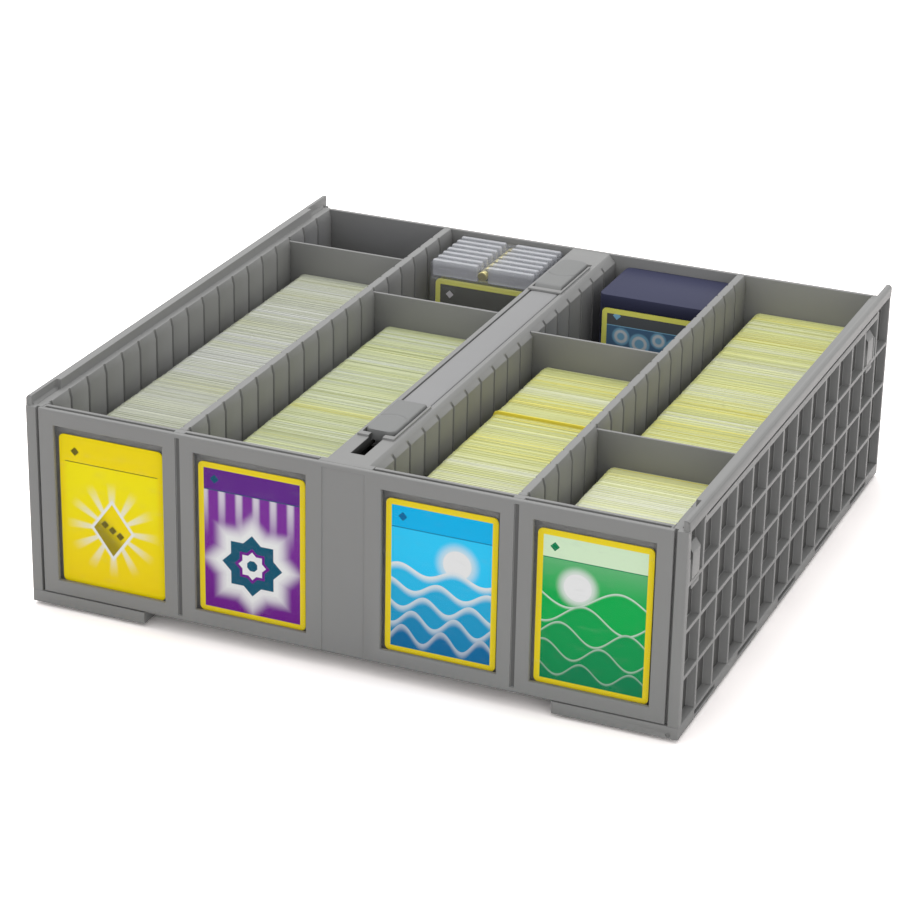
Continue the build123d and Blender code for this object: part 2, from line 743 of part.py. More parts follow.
with BuildPart() as deck_box_lid:
    span_box(deck_outer_x, deck_y, (lid_bottom + deck_lid_gap, lid_top))
    fillet(deck_box_lid.edges().filter_by(Axis.Z), deck_round)
    cap_z = (lid_bottom + deck_lid_gap, lid_top - deck_wall)
    span_box(inset(deck_outer_x, deck_wall), inset(deck_y, deck_wall), cap_z, Mode.SUBTRACT)
    lid_recess_z = (lid_bottom + deck_lid_gap, floor_top + deck_card_lift + card_height + deck_card_gap)
    span_box(recess_x, recess_y, lid_recess_z, Mode.SUBTRACT)
finish(deck_box_lid, "deck_box_lid")

with BuildPart() as deck_box_card:
    deck_card_x = (deck_x - card_width / 2, deck_x + card_width / 2)
    deck_card_y = (deck_front, deck_front + deck_card_depth)
    deck_card_bottom = floor_top + deck_card_lift
    span_box(deck_card_x, deck_card_y, (deck_card_bottom, deck_card_bottom + card_height))
finish(deck_box_card, "deck_box_card")
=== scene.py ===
"""Dressed scene of a four-lane card storage bin, with its labels, cards, cases, deck box and strap."""

import logging
import math
from dataclasses import dataclass
from enum import Enum
from functools import partialmethod
from typing import Callable, Iterable, Optional, Sequence

import bmesh
import bpy
from bmesh.types import BMesh
from bpy.types import ID, Material, Mesh, Node, NodeSocket, NodeTree, Object
from mathutils import Matrix, Vector


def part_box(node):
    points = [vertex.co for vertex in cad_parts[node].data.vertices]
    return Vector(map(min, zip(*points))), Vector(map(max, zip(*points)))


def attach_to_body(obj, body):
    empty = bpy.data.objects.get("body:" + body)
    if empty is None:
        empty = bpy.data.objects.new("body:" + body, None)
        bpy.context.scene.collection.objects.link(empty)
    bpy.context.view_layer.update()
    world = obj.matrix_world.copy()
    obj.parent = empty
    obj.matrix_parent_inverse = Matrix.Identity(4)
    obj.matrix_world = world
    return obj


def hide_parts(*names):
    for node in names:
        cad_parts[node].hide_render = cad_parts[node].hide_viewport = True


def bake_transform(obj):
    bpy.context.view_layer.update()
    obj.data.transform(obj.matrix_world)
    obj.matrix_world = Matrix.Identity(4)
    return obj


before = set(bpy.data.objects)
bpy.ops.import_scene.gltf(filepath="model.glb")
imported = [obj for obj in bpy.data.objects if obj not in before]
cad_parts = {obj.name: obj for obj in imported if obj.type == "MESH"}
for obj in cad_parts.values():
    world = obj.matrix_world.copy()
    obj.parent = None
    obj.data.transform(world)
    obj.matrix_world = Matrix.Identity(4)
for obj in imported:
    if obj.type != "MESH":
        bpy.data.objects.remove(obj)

LOG = logging.getLogger("card_bin")
MM = 0.001
FULL_TURN = 2 * math.pi
SHARP_FOLD = math.radians(30)
STRAP_FOLD = math.radians(50)
FLAT_FOLD = math.radians(1)
MERGE_GAP = 0.001 * MM
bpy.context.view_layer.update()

Colour = tuple[float, float, float]
Section = tuple[float, float, float]

# Nodes and fields: numbers that vary over a surface


def fill_inputs(tree: NodeTree, node: Node, inputs: dict[str | int, object]) -> None:
    """Link fields and sockets to a node's inputs, and give the others plain values.

    Args:
        tree: The node tree.
        node: The node.
        inputs: What goes into each input, by its name or place.
    """
    for key, value in inputs.items():
        source = value.socket if isinstance(value, Field) else value
        if isinstance(source, NodeSocket):
            tree.links.new(source, node.inputs[key])
        else:
            node.inputs[key].default_value = source


def add_node(
    tree: NodeTree, kind: str, inputs: Optional[dict[str | int, object]] = None, **settings: object
) -> Node:
    """Add a node, give it its settings and fill its inputs.

    Args:
        tree: The node tree.
        kind: Blender's name of the node's type.
        inputs: What goes into each input, by its name or place.
        settings: Settings of the node itself, such as its operation.

    Returns:
        The node.
    """
    node = tree.nodes.new(kind)
    for name, setting in settings.items():
        setattr(node, name, setting)
    fill_inputs(tree, node, inputs or {})
    return node


class Field:
    """A number that varies over a surface, held as a node socket. Arithmetic on it adds math nodes."""

    def __init__(self, tree: NodeTree, socket: NodeSocket) -> None:
        """Hold an output socket that carries a number, and the tree that it is in."""
        self.tree = tree
        self.socket = socket

    def math(self, operation: str, *others: "Field | float") -> "Field":
        """Add a math node that starts from this field.

        Args:
            operation: Blender's name of the operation.
            others: Its further operands, fields or numbers.

        Returns:
            The result.
        """
        operands = dict(enumerate((self, *others)))
        node = add_node(self.tree, "ShaderNodeMath", operands, operation=operation)
        return Field(self.tree, node.outputs[0])

    __add__ = partialmethod(math, "ADD")
    __sub__ = partialmethod(math, "SUBTRACT")
    __mul__ = partialmethod(math, "MULTIPLY")
    abs = partialmethod(math, "ABSOLUTE")
    sin = partialmethod(math, "SINE")
    max = partialmethod(math, "MAXIMUM")
    min = partialmethod(math, "MINIMUM")

    def length(self, other: "Field") -> "Field":
        """Length of the vector with these two components."""
        return (self * self + other * other).math("SQRT")

    def ramp(self, low: float, high: float) -> "Field":
        """Smooth step from 0 to 1.

        Args:
            low: Where it is 0.
            high: Where it is 1, below low for a falling step.

        Returns:
            The step.
        """
        falling = high < low
        node = add_node(
            self.tree, "ShaderNodeMapRange",
            {
                "Value": self, "From Min": min(low, high), "From Max": max(low, high),
                "To Min": 1.0 if falling else 0.0, "To Max": 0.0 if falling else 1.0,
            },
            interpolation_type="SMOOTHSTEP",
        )
        return Field(self.tree, node.outputs["Result"])

    def inside(self, soft: float) -> "Field":
        """Mask of where a distance is below 0, with an edge this soft."""
        return self.ramp(soft, -soft)


def straight_to_eye(tree: NodeTree) -> Field:
    """Mask of the rays that reach the camera straight, off a shiny surface or through a clear one.

    Args:
        tree: The node tree of the floor or the sky.

    Returns:
        The mask.
    """
    path = add_node(tree, "ShaderNodeLightPath")
    camera, glossy, through = (
        Field(tree, path.outputs[f"Is {kind} Ray"]) for kind in ("Camera", "Glossy", "Transmission")
    )
    return camera.max(glossy).max(through)


class Paint:
    """One material: its Principled shader, its nodes and a colour that is painted in layers."""

    def __init__(self, name: str) -> None:
        """Make an empty material.

        Args:
            name: Its name.
        """
        self.material = bpy.data.materials.new(name)
        self.material.use_nodes = True
        self.tree = self.material.node_tree
        self.shader = self.tree.nodes["Principled BSDF"]
        self.coordinates = add_node(self.tree, "ShaderNodeTexCoord")
        self.colour: Optional[NodeSocket] = None

    def uv(self) -> tuple[Field, Field]:
        """The two components of the UV map."""
        split = add_node(self.tree, "ShaderNodeSeparateXYZ", {0: self.coordinates.outputs["UV"]})
        return Field(self.tree, split.outputs[0]), Field(self.tree, split.outputs[1])

    def attribute(self, name: str) -> Field:
        """A number that the mesh stores under that name."""
        node = add_node(self.tree, "ShaderNodeAttribute", attribute_name=name)
        return Field(self.tree, node.outputs["Fac"])

    def noise(self, scale: float, detail: float = 2.0, stretch: Section = (1.0, 1.0, 1.0)) -> Field:
        """Noise over the object's own coordinates.

        Args:
            scale: Waves per metre.
            detail: Octaves.
            stretch: Factors on the three axes before the noise is read.

        Returns:
            The noise, from 0 to 1.
        """
        mapping = add_node(
            self.tree, "ShaderNodeMapping", {"Vector": self.coordinates.outputs["Object"], "Scale": stretch}
        )
        node = add_node(
            self.tree, "ShaderNodeTexNoise", {"Vector": mapping.outputs[0], "Scale": scale, "Detail": detail}
        )
        return Field(self.tree, node.outputs["Fac"])

    def over(self, colour: Colour, mask: Field | float = 0.0) -> None:
        """Paint a colour over the layers so far.

        Args:
            colour: The colour.
            mask: Where it covers. The first layer needs none.
        """
        below = (*colour, 1.0) if self.colour is None else self.colour
        mix = add_node(
            self.tree, "ShaderNodeMix", {"A": below, "B": (*colour, 1.0), "Factor": mask}, data_type="RGBA"
        )
        self.colour = mix.outputs["Result"]

    def group(self, tree: NodeTree, **values: float) -> dict[str, Field]:
        """Place a shader node group.

        Args:
            tree: The group.
            values: Values of its inputs.

        Returns:
            Its outputs by name.
        """
        node = add_node(self.tree, "ShaderNodeGroup", values, node_tree=tree)
        return {output.name: Field(self.tree, output) for output in node.outputs}

    def bump(self, height: Field, distance: float, strength: float) -> None:
        """Drive the shader's normal with a height.

        Args:
            height: The height.
            distance: Depth of a height of 1, in metres.
            strength: How much of it shows.
        """
        node = add_node(
            self.tree, "ShaderNodeBump", {"Distance": distance, "Strength": strength, "Height": height}
        )
        self.tree.links.new(node.outputs["Normal"], self.shader.inputs["Normal"])

    def finish(self, inputs: dict[str, Field | float]) -> Material:
        """Give the shader its colour and further inputs, and return the material."""
        fill_inputs(self.tree, self.shader, {"Base Color": self.colour, **inputs})
        return self.material


# Shader groups that several materials share


def new_group(
    name: str, inputs: dict[str, float], outputs: Iterable[str]
) -> tuple[NodeTree, Node, Node]:
    """Make an empty shader group whose sockets all carry numbers.

    Args:
        name: The group's name.
        inputs: Names and default values of its inputs.
        outputs: Names of its outputs.

    Returns:
        The group, its input node and its output node.
    """
    tree = bpy.data.node_groups.new(name, "ShaderNodeTree")
    for label, value in inputs.items():
        socket = tree.interface.new_socket(label, in_out="INPUT", socket_type="NodeSocketFloat")
        socket.default_value = value
    for label in outputs:
        tree.interface.new_socket(label, in_out="OUTPUT", socket_type="NodeSocketFloat")
    return tree, add_node(tree, "NodeGroupInput"), add_node(tree, "NodeGroupOutput")


def moulded_grain_group() -> NodeTree:
    """Fine spark texture of a mould, with slow clouds of shade.

    Returns:
        A group with inputs Grain and Cloud, sizes in waves per metre, and outputs Height and Shade.
    """
    tree, into, out = new_group("moulded_grain", {"Grain": 1800.0, "Cloud": 14.0}, ("Height", "Shade"))
    point = add_node(tree, "ShaderNodeTexCoord").outputs["Object"]
    for source, target, detail in (("Grain", "Height", 3.0), ("Cloud", "Shade", 4.0)):
        noise = add_node(
            tree, "ShaderNodeTexNoise", {"Vector": point, "Scale": into.outputs[source], "Detail": detail}
        )
        tree.links.new(noise.outputs["Fac"], out.inputs[target])
    return tree


def edge_wear_and_highlight_group() -> NodeTree:
    """Mask of the outer edges, where handling rubs a surface lighter and where a painted highlight stands
    for the light that the edges catch.

    Returns:
        A group with inputs Radius, in metres, and Patchiness, in waves per metre, and the output Mask.
    """
    tree, into, out = new_group("edge_wear_and_highlight", {"Radius": 0.5 * MM, "Patchiness": 60.0}, ("Mask",))
    bevel = add_node(tree, "ShaderNodeBevel", {"Radius": into.outputs["Radius"]}, samples=4)
    geometry = add_node(tree, "ShaderNodeNewGeometry")
    dot = add_node(
        tree, "ShaderNodeVectorMath", {0: bevel.outputs[0], 1: geometry.outputs["Normal"]},
        operation="DOT_PRODUCT",
    )
    point = add_node(tree, "ShaderNodeTexCoord").outputs["Object"]
    noise = add_node(tree, "ShaderNodeTexNoise", {"Vector": point, "Scale": into.outputs["Patchiness"]})
    bright_edge = Field(tree, dot.outputs["Value"]).ramp(0.995, 0.80)
    mask = bright_edge * Field(tree, noise.outputs["Fac"]).ramp(0.2, 0.6)
    tree.links.new(mask.socket, out.inputs["Mask"])
    return tree


GRAIN = moulded_grain_group()
EDGE_WEAR_AND_HIGHLIGHT = edge_wear_and_highlight_group()


# Finishes


@dataclass(frozen=True)
class MouldedPlastic:
    """Matt injection-moulded plastic with a fine texture and lighter edges, partly rubbed wear and partly
    painted highlight.
    """

    name: str
    colour: Colour
    edge_colour: Colour
    roughness: float = 0.55
    grain_depth: float = 0.03 * MM
    edge_share: float = 0.5
    shade_share: float = 0.22
    specular: float = 0.4

    def material(self) -> Material:
        """Build the material.

        Returns:
            The material.
        """
        paint = Paint(self.name)
        grain = paint.group(GRAIN)
        shade = grain["Shade"]
        mask = paint.group(EDGE_WEAR_AND_HIGHLIGHT, Radius=0.6 * MM)["Mask"]
        paint.over(self.colour)
        paint.over(tuple(0.78 * c for c in self.colour), shade.ramp(0.62, 0.30) * self.shade_share)
        # Lighter edges: rubbed wear and a painted highlight along the edges.
        paint.over(self.edge_colour, mask * self.edge_share)
        paint.bump(grain["Height"], self.grain_depth, 0.6)
        roughness = shade * 0.12 + (self.roughness - 0.06)
        return paint.finish({"Roughness": roughness, "Specular IOR Level": self.specular})


@dataclass(frozen=True)
class CardEdges:
    """Cut edges of coated card, each card with its own tint."""

    name: str
    paper: Colour
    tint: Colour
    strong_tint: Colour
    dark: Colour
    roughness: float = 0.62

    def material(self) -> Material:
        """Build the material, which reads the tint that the card row stores on each card.

        Returns:
            The material.
        """
        paint = Paint(self.name)
        own = paint.attribute("card_tint")
        drift = paint.noise(46.0, 5.0, (0.05, 1.0, 0.05))
        fibre = paint.noise(420.0, 3.0, (1.0, 0.2, 1.0))
        mixed = own * 0.36 + drift * 1.3 - 0.33
        paint.over(self.paper)
        paint.over(self.tint, mixed.ramp(0.22, 0.52))
        paint.over(self.strong_tint, mixed.ramp(0.62, 0.80))
        paint.over(self.dark, own.ramp(0.955, 0.97) * 0.55)
        paint.over(self.dark, fibre.ramp(0.62, 0.80) * 0.18)
        paint.bump(fibre, 0.05 * MM, 0.4)
        return paint.finish({"Roughness": self.roughness})


@dataclass(frozen=True)
class ClearPlastic:
    """Thin clear plastic that shows what is behind it, with a faint haze, scuffs and a painted highlight
    along its rims.
    """

    name: str
    colour: Colour
    haze: float
    scuffs: float = 0.06
    rim_share: float = 0.35
    specular: float = 0.5

    def material(self) -> Material:
        """Build the material.

        Returns:
            The material.
        """
        paint = Paint(self.name)
        scuff = paint.noise(90.0, 6.0, (1.0, 1.0, 4.0)).ramp(0.55, 0.75)
        rim = paint.group(EDGE_WEAR_AND_HIGHLIGHT, Radius=0.7 * MM)["Mask"]
        paint.over(self.colour)
        # The rims are painted lighter and more opaque: a painted highlight along the clear edges.
        paint.over(tuple(min(1.0, 1.15 * c) for c in self.colour), rim)
        opacity = (scuff * self.scuffs + rim * self.rim_share + self.haze).min(1.0)
        return paint.finish({
            "Alpha": opacity, "Roughness": scuff * 0.2 + 0.12, "Specular IOR Level": self.specular,
        })


@dataclass(frozen=True)
class PlatedMetal:
    """Plated metal with a fine brushed grain."""

    name: str
    colour: Colour

    def material(self) -> Material:
        """Build the material.

        Returns:
            The material.
        """
        paint = Paint(self.name)
        brushed = paint.noise(900.0, 2.0, (1.0, 0.1, 1.0))
        paint.over(self.colour)
        paint.over(tuple(0.8 * c for c in self.colour), brushed.ramp(0.4, 0.7) * 0.4)
        return paint.finish({"Metallic": 1.0, "Roughness": brushed * 0.1 + 0.28})


class Motif(Enum):
    """The generic pictures that the cards carry, by the method that paints each."""

    SUNBURST = "sunburst"
    STAR = "star"
    WAVES = "waves"
    HILLS = "hills"
    RINGS = "rings"


CARD_WIDTH = 63 * MM
CARD_HEIGHT = 88 * MM
CARD_CORNER = 3 * MM
PRINT_MARGIN = 3.2
PRINT_SOFT = 0.12


@dataclass(frozen=True)
class Crests:
    """Rows of wavy crests, nearest last. Sizes are in millimetres and change by a step from row to row."""

    waves: tuple[float, float]
    phase: float
    swing: tuple[float, float]
    level: tuple[float, float]
    shares: tuple[float, ...]
    soft: float
    glow_share: float


@dataclass(frozen=True)
class PrintedCard:
    """Coated card printed with a border, a header band and one generic picture."""

    name: str
    motif: Motif
    border: Colour
    ground: Colour
    deep: Colour
    header: Colour
    accent: Colour
    glow: Colour = (0.86, 0.86, 0.86)
    header_from: float = 28.5

    def material(self) -> Material:
        """Build the material over the card's own UV map, in millimetres from its middle.

        Returns:
            The material.
        """
        paint = Paint(self.name)
        across, up = paint.uv()
        x = (across - 0.5) * (CARD_WIDTH / MM)
        z = (up - 0.5) * (CARD_HEIGHT / MM)
        paint.over(self.ground)
        paint.over(self.deep, z.ramp(20.0, -44.0))
        getattr(self, self.motif.value)(paint, x, z)
        self.header_band(paint, x, z)
        half_width = CARD_WIDTH / MM / 2 - PRINT_MARGIN
        half_height = CARD_HEIGHT / MM / 2 - PRINT_MARGIN
        frame_distance = (x.abs() - half_width).max(z.abs() - half_height)
        paint.over(self.border, frame_distance.ramp(-PRINT_SOFT, PRINT_SOFT))
        mottle = paint.noise(700.0, 2.0)
        paint.over(self.glow, mottle.ramp(0.60, 0.85) * 0.03)
        return paint.finish({"Roughness": mottle * 0.15 + 0.25, "Specular IOR Level": 0.06})

    def header_band(self, paint: Paint, x: Field, z: Field) -> None:
        """Paint the band along the top, with a rule under it and a small lozenge in it.

        Args:
            paint: The material.
            x: Place across the card.
            z: Place up the card.
        """
        paint.over(self.header, z.ramp(self.header_from - PRINT_SOFT, self.header_from + PRINT_SOFT))
        rule = (z - self.header_from).abs()
        paint.over(self.accent, (rule - 0.25).inside(PRINT_SOFT))
        lozenge = (x + 22.0).abs() + (z - (self.header_from + 6.3)).abs() - 2.6
        paint.over(self.accent, lozenge.inside(PRINT_SOFT))

    def sunburst(self, paint: Paint, x: Field, z: Field) -> None:
        """Paint twelve tapered rays about a lozenge in a pale ring.

        Args:
            paint: The material.
            x: Place across the card.
            z: Place up the card.
        """
        low = z + 8.0
        rays = (x.math("ARCTAN2", low) * 6.0).sin().abs()
        paint.over(self.glow, rays.ramp(0.75, 0.35) * x.length(low).ramp(30.0, 12.0) * 0.7)
        lozenge = x.abs() * 1.15 + low.abs() * 0.85
        paint.over(self.glow, (lozenge - 15.5).inside(0.9))
        paint.over(self.header, (lozenge - 13.2).inside(PRINT_SOFT))
        shade = (x + low).ramp(8.0, -10.0)
        paint.over(self.accent, (lozenge - 13.2).inside(PRINT_SOFT) * shade * 0.75)
        for offset in (-4.6, 0.0, 4.6):
            small = (x - offset).abs() + (low + offset * 0.6).abs()
            paint.over(self.accent, (small - 2.5).inside(PRINT_SOFT))

    def star(self, paint: Paint, x: Field, z: Field) -> None:
        """Paint an eight-pointed star of two squares, with a smaller one inside and rising bars.

        Args:
            paint: The material.
            x: Place across the card.
            z: Place up the card.
        """
        bars = (x * 0.62).sin()
        paint.over(self.glow, bars.ramp(-0.2, 0.95) * z.ramp(-2.0, 30.0) * 0.75)
        low = z + 12.0
        square = x.abs().max(low.abs())
        turned = (x.abs() + low.abs()) * math.sqrt(0.5)
        star = square.min(turned)
        paint.over(self.glow, star.ramp(24.0, 15.5) * 0.9)
        paint.over(self.glow, (star - 15.5).inside(0.7))
        for colour, reach in ((self.accent, 12.6), (self.deep, 7.4), (self.glow, 5.8)):
            paint.over(colour, (star - reach).inside(PRINT_SOFT))
        paint.over(self.accent, (square.max(turned) - 3.0).inside(PRINT_SOFT))

    def crests(self, paint: Paint, x: Field, z: Field, rows: Crests) -> None:
        """Paint rows of crests that darken from the ground colour to the accent, each with a pale edge.

        Args:
            paint: The material.
            x: Place across the card.
            z: Place up the card.
            rows: The rows of crests.
        """
        for row, share in enumerate(rows.shares):
            swing = (x * (rows.waves[0] + rows.waves[1] * row) + rows.phase * row).sin()
            depth = z - swing * (rows.swing[0] + rows.swing[1] * row) - (rows.level[0] + rows.level[1] * row)
            covered = depth.inside(PRINT_SOFT)
            paint.over(tuple(g + (d - g) * share for g, d in zip(self.ground, self.accent)), covered)
            paint.over(self.glow, depth.ramp(rows.soft, -0.2) * covered * (rows.glow_share - 0.1 * row))

    def waves(self, paint: Paint, x: Field, z: Field) -> None:
        """Paint five rows of waves under a low pale disc.

        Args:
            paint: The material.
            x: Place across the card.
            z: Place up the card.
        """
        disc = (x - 9.0).length(z - 13.0)
        paint.over(self.glow, disc.ramp(14.0, 7.5) * 0.7)
        paint.over(self.glow, (disc - 8.0).inside(0.3))
        self.crests(paint, x, z, Crests(
            (0.20, 0.02), 1.9, (2.6, 0.5), (6.0, -9.5), (0.2, 0.4, 0.6, 0.8, 1.0), -5.0, 0.95,
        ))

    def hills(self, paint: Paint, x: Field, z: Field) -> None:
        """Paint five ridges of hills under a pale sky with a disc.

        Args:
            paint: The material.
            x: Place across the card.
            z: Place up the card.
        """
        disc = (x + 9.0).length(z - 14.0)
        paint.over(self.glow, z.ramp(6.0, 40.0) * 0.2)
        paint.over(self.glow, disc.ramp(13.0, 7.5) * 0.8)
        paint.over(self.glow, (disc - 7.6).inside(0.3))
        self.crests(paint, x, z, Crests(
            (0.11, 0.03), 2.3, (6.5, -0.6), (9.0, -10.5), (0.0, 0.25, 0.5, 0.75, 1.0), -1.8, 0.75,
        ))

    def rings(self, paint: Paint, x: Field, z: Field) -> None:
        """Paint soft discs and rings of light.

        Args:
            paint: The material.
            x: Place across the card.
            z: Place up the card.
        """
        for cx, cz, size in (
            (-19.0, 27.0, 5.5), (-7.0, 24.0, 6.5), (5.0, 28.0, 5.0), (16.0, 24.5, 6.5), (18.0, 8.0, 8.0),
            (-13.0, 8.0, 7.0), (3.0, 4.0, 9.0), (-8.0, -18.0, 12.0),
        ):
            disc = (x - cx).length(z - cz)
            paint.over(self.accent, (disc - size).inside(0.8) * 0.8)
            paint.over(self.glow, ((disc - size * 0.6).abs() - 0.9).inside(0.5) * 0.8)


# Finishes of this bin

GREY = MouldedPlastic("grey_moulding", (0.235, 0.235, 0.232), (0.36, 0.36, 0.355))
STRAP_GREY = MouldedPlastic(
    "strap_moulding", (0.255, 0.255, 0.258), (0.34, 0.34, 0.34), roughness=0.62, edge_share=0.3
)
PAD_GREY = MouldedPlastic(
    "pad_moulding", (0.195, 0.198, 0.196), (0.28, 0.28, 0.28), roughness=0.62, edge_share=0.4
)
# Darker grey for the faces deep in recesses, such as the crate sheets and the spine's slot walls: painted
# shade.
PAINTED_SHADE_GREY = MouldedPlastic("recess_painted_shade", (0.078, 0.078, 0.076), (0.16, 0.16, 0.155), specular=0.2)
# Dark grey for the recessed seam faces of the front: painted shade in the seams.
SEAM_SHADE_GREY = MouldedPlastic("seam_painted_shade", (0.12, 0.12, 0.118), (0.16, 0.16, 0.155), specular=0.2)
NAVY = MouldedPlastic(
    "navy_moulding", (0.040, 0.043, 0.084), (0.07, 0.075, 0.14), roughness=0.45, grain_depth=0.01 * MM,
    specular=0.12,
)
NAVY_SLEEVES = CardEdges(
    "navy_sleeves", (0.05, 0.06, 0.12), (0.03, 0.035, 0.08), (0.12, 0.14, 0.22), (0.01, 0.012, 0.03), 0.3
)
PALE_EDGES = CardEdges(
    "grey_card_edges", (0.54, 0.55, 0.54), (0.49, 0.51, 0.405), (0.52, 0.53, 0.31), (0.29, 0.30, 0.27)
)
GREEN_EDGES = CardEdges(
    "green_card_edges", (0.57, 0.60, 0.53), (0.53, 0.57, 0.32), (0.60, 0.60, 0.23), (0.33, 0.35, 0.22)
)
YELLOW_EDGES = CardEdges(
    "yellow_card_edges", (0.67, 0.69, 0.56), (0.63, 0.655, 0.30), (0.71, 0.66, 0.15), (0.41, 0.40, 0.20)
)
# A lighter copy of the yellow edges for the front of lane 4: painted light that offsets the wall's shadow
# there.
LIT_YELLOW_EDGES = CardEdges(
    "lit_yellow_card_edges", (0.76, 0.78, 0.68), (0.72, 0.745, 0.42), (0.78, 0.74, 0.22), (0.46, 0.46, 0.28)
)
INDEX_EDGES = CardEdges(
    "index_card", (0.90, 0.76, 0.10), (0.88, 0.74, 0.08), (0.90, 0.78, 0.12), (0.62, 0.52, 0.10), 0.4
)
SLEEVE_CLEAR = ClearPlastic(
    "sleeve_clear", (0.80, 0.82, 0.86), 0.005, scuffs=0.02, rim_share=0.12, specular=0.2
)
CASE_CLEAR = ClearPlastic("case_clear", (0.78, 0.80, 0.84), 0.09, rim_share=0.25)
CASE_HEAD = ClearPlastic(
    "case_head_clear", (0.40, 0.41, 0.44), 0.22, scuffs=0.05, rim_share=0.12, specular=0.3
)
# Pale ridges along the case tops: a painted highlight for the bright lines along each rounded top.
CASE_HIGHLIGHT_RIDGE = ClearPlastic(
    "case_ridge_painted_highlight", (0.68, 0.69, 0.73), 0.48, scuffs=0.10, rim_share=0.2, specular=0.3
)
GOLD = PlatedMetal("gold_plating", (0.98, 0.88, 0.40))

YELLOW_BORDER = (0.90, 0.70, 0.02)
# A lighter copy of the yellow border for the cards deep in the lanes, in the case and the deck box: painted
# light that offsets the shade there.
LIT_YELLOW_BORDER = (1.0, 0.98, 0.20)
LABELS = {
    1: PrintedCard(
        "print_sunburst", Motif.SUNBURST, (0.95, 0.74, 0.003), (0.96, 0.82, 0.003), (0.95, 0.70, 0.003),
        (0.94, 0.73, 0.003), (0.15, 0.12, 0.01),
    ),
    2: PrintedCard(
        "print_star", Motif.STAR, YELLOW_BORDER, (0.21, 0.03, 0.33), (0.16, 0.01, 0.26),
        (0.12, 0.02, 0.25), (0.005, 0.09, 0.16),
    ),
    3: PrintedCard(
        "print_waves", Motif.WAVES, YELLOW_BORDER, (0.03, 0.62, 0.99), (0.01, 0.46, 0.92),
        (0.003, 0.48, 0.88), (0.002, 0.15, 0.36),
    ),
    4: PrintedCard(
        "print_hills", Motif.HILLS, YELLOW_BORDER, (0.003, 0.42, 0.08), (0.002, 0.34, 0.07),
        (0.70, 0.88, 0.62), (0.002, 0.22, 0.08),
    ),
}
CASE_PRINT = PrintedCard(
    "print_case_card", Motif.RINGS, LIT_YELLOW_BORDER, (0.30, 0.24, 0.30), (0.20, 0.12, 0.22),
    (0.11, 0.11, 0.09), (0.72, 0.70, 0.72),
)
DECK_PRINT = PrintedCard(
    "print_deck_card", Motif.RINGS, LIT_YELLOW_BORDER, (0.10, 0.20, 0.34), (0.05, 0.11, 0.23),
    (0.12, 0.13, 0.14), (0.30, 0.62, 0.85), header_from=33.5,
)


Finish = MouldedPlastic | CardEdges | ClearPlastic | PlatedMetal | PrintedCard
_materials: dict[str, Material] = {}


def material_of(finish: Finish) -> Material:
    """The material of a finish, built once and then shared.

    Args:
        finish: The finish.

    Returns:
        Its material.
    """
    if finish.name not in _materials:
        _materials[finish.name] = finish.material()
    return _materials[finish.name]


# Mesh making


def new_object(name: str, data: ID, finish: Optional[Finish] = None) -> Object:
    """Put a mesh, lamp or camera in the scene under that name.

    Args:
        name: The object's name.
        data: The mesh, lamp or camera.
        finish: A mesh's finish, unless it gets none here.

    Returns:
        The object.
    """
    piece = bpy.data.objects.new(name, data)
    bpy.context.scene.collection.objects.link(piece)
    if finish is not None:
        data.materials.append(material_of(finish))
    return piece


def mesh_from(build: BMesh, name: str) -> Mesh:
    """Turn a built mesh into Blender's own and free it.

    Args:
        build: The mesh under construction.
        name: The finished mesh's name.

    Returns:
        The finished mesh.
    """
    mesh = bpy.data.meshes.new(name)
    build.to_mesh(mesh)
    build.free()
    return mesh


def add_block(build: BMesh, middle: Sequence[float], size: Sequence[float]) -> None:
    """Add a block to a mesh under construction.

    Args:
        build: The mesh.
        middle: The block's middle.
        size: Its size along each axis.
    """
    verts = bmesh.ops.create_cube(build, size=1.0)["verts"]
    bmesh.ops.scale(build, vec=size, verts=verts)
    bmesh.ops.translate(build, vec=middle, verts=verts)


def apply_modifiers(piece: Object) -> None:
    """Turn a piece with modifiers into one plain mesh without them.

    Args:
        piece: The piece, whose mesh is replaced.
    """
    graph = bpy.context.evaluated_depsgraph_get()
    mesh = bpy.data.meshes.new_from_object(piece.evaluated_get(graph), depsgraph=graph)
    piece.modifiers.clear()
    old = piece.data
    piece.data = mesh
    mesh.name = piece.name
    if old.users == 0:
        bpy.data.meshes.remove(old)


def round_edges(piece: Object, radius: float, segments: int = 2) -> None:
    """Round a piece's sharp edges.

    Args:
        piece: The piece.
        radius: How far the rounding reaches from each edge, in metres.
        segments: Facets across the rounding.
    """
    piece.data.shade_smooth()
    bevel = piece.modifiers.new("rounding", "BEVEL")
    bevel.width = radius
    bevel.segments = segments
    bevel.limit_method = "ANGLE"
    bevel.angle_limit = SHARP_FOLD
    bevel.use_clamp_overlap = False
    bevel.harden_normals = True
    apply_modifiers(piece)


def attach(piece: Object, body: str, slot: str, *nodes: str) -> None:
    """Let a piece ride on a body and stand for its nodes.

    Args:
        piece: The finished piece.
        body: The body's name.
        slot: Not used.
        nodes: The nodes that the piece stands for.
    """
    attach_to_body(piece, body)
    if nodes:
        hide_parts(*nodes)
    LOG.info("%s: %d faces on %s", piece.name, len(piece.data.polygons), body)


def card_outline(width: float, height: float, corner: float, steps: int) -> list[tuple[float, float]]:
    """Points around a card with round corners, from its middle.

    Args:
        width: The card's width.
        height: The card's height.
        corner: The corners' radius.
        steps: Facets in each corner.

    Returns:
        The points, anticlockwise.
    """
    points = []
    for turn, (sx, sz) in enumerate(((1, 1), (-1, 1), (-1, -1), (1, -1))):
        for step in range(steps + 1):
            angle = (turn + step / steps) * FULL_TURN / 4
            points.append((
                sx * (width / 2 - corner) + corner * math.cos(angle),
                sz * (height / 2 - corner) + corner * math.sin(angle),
            ))
    return points


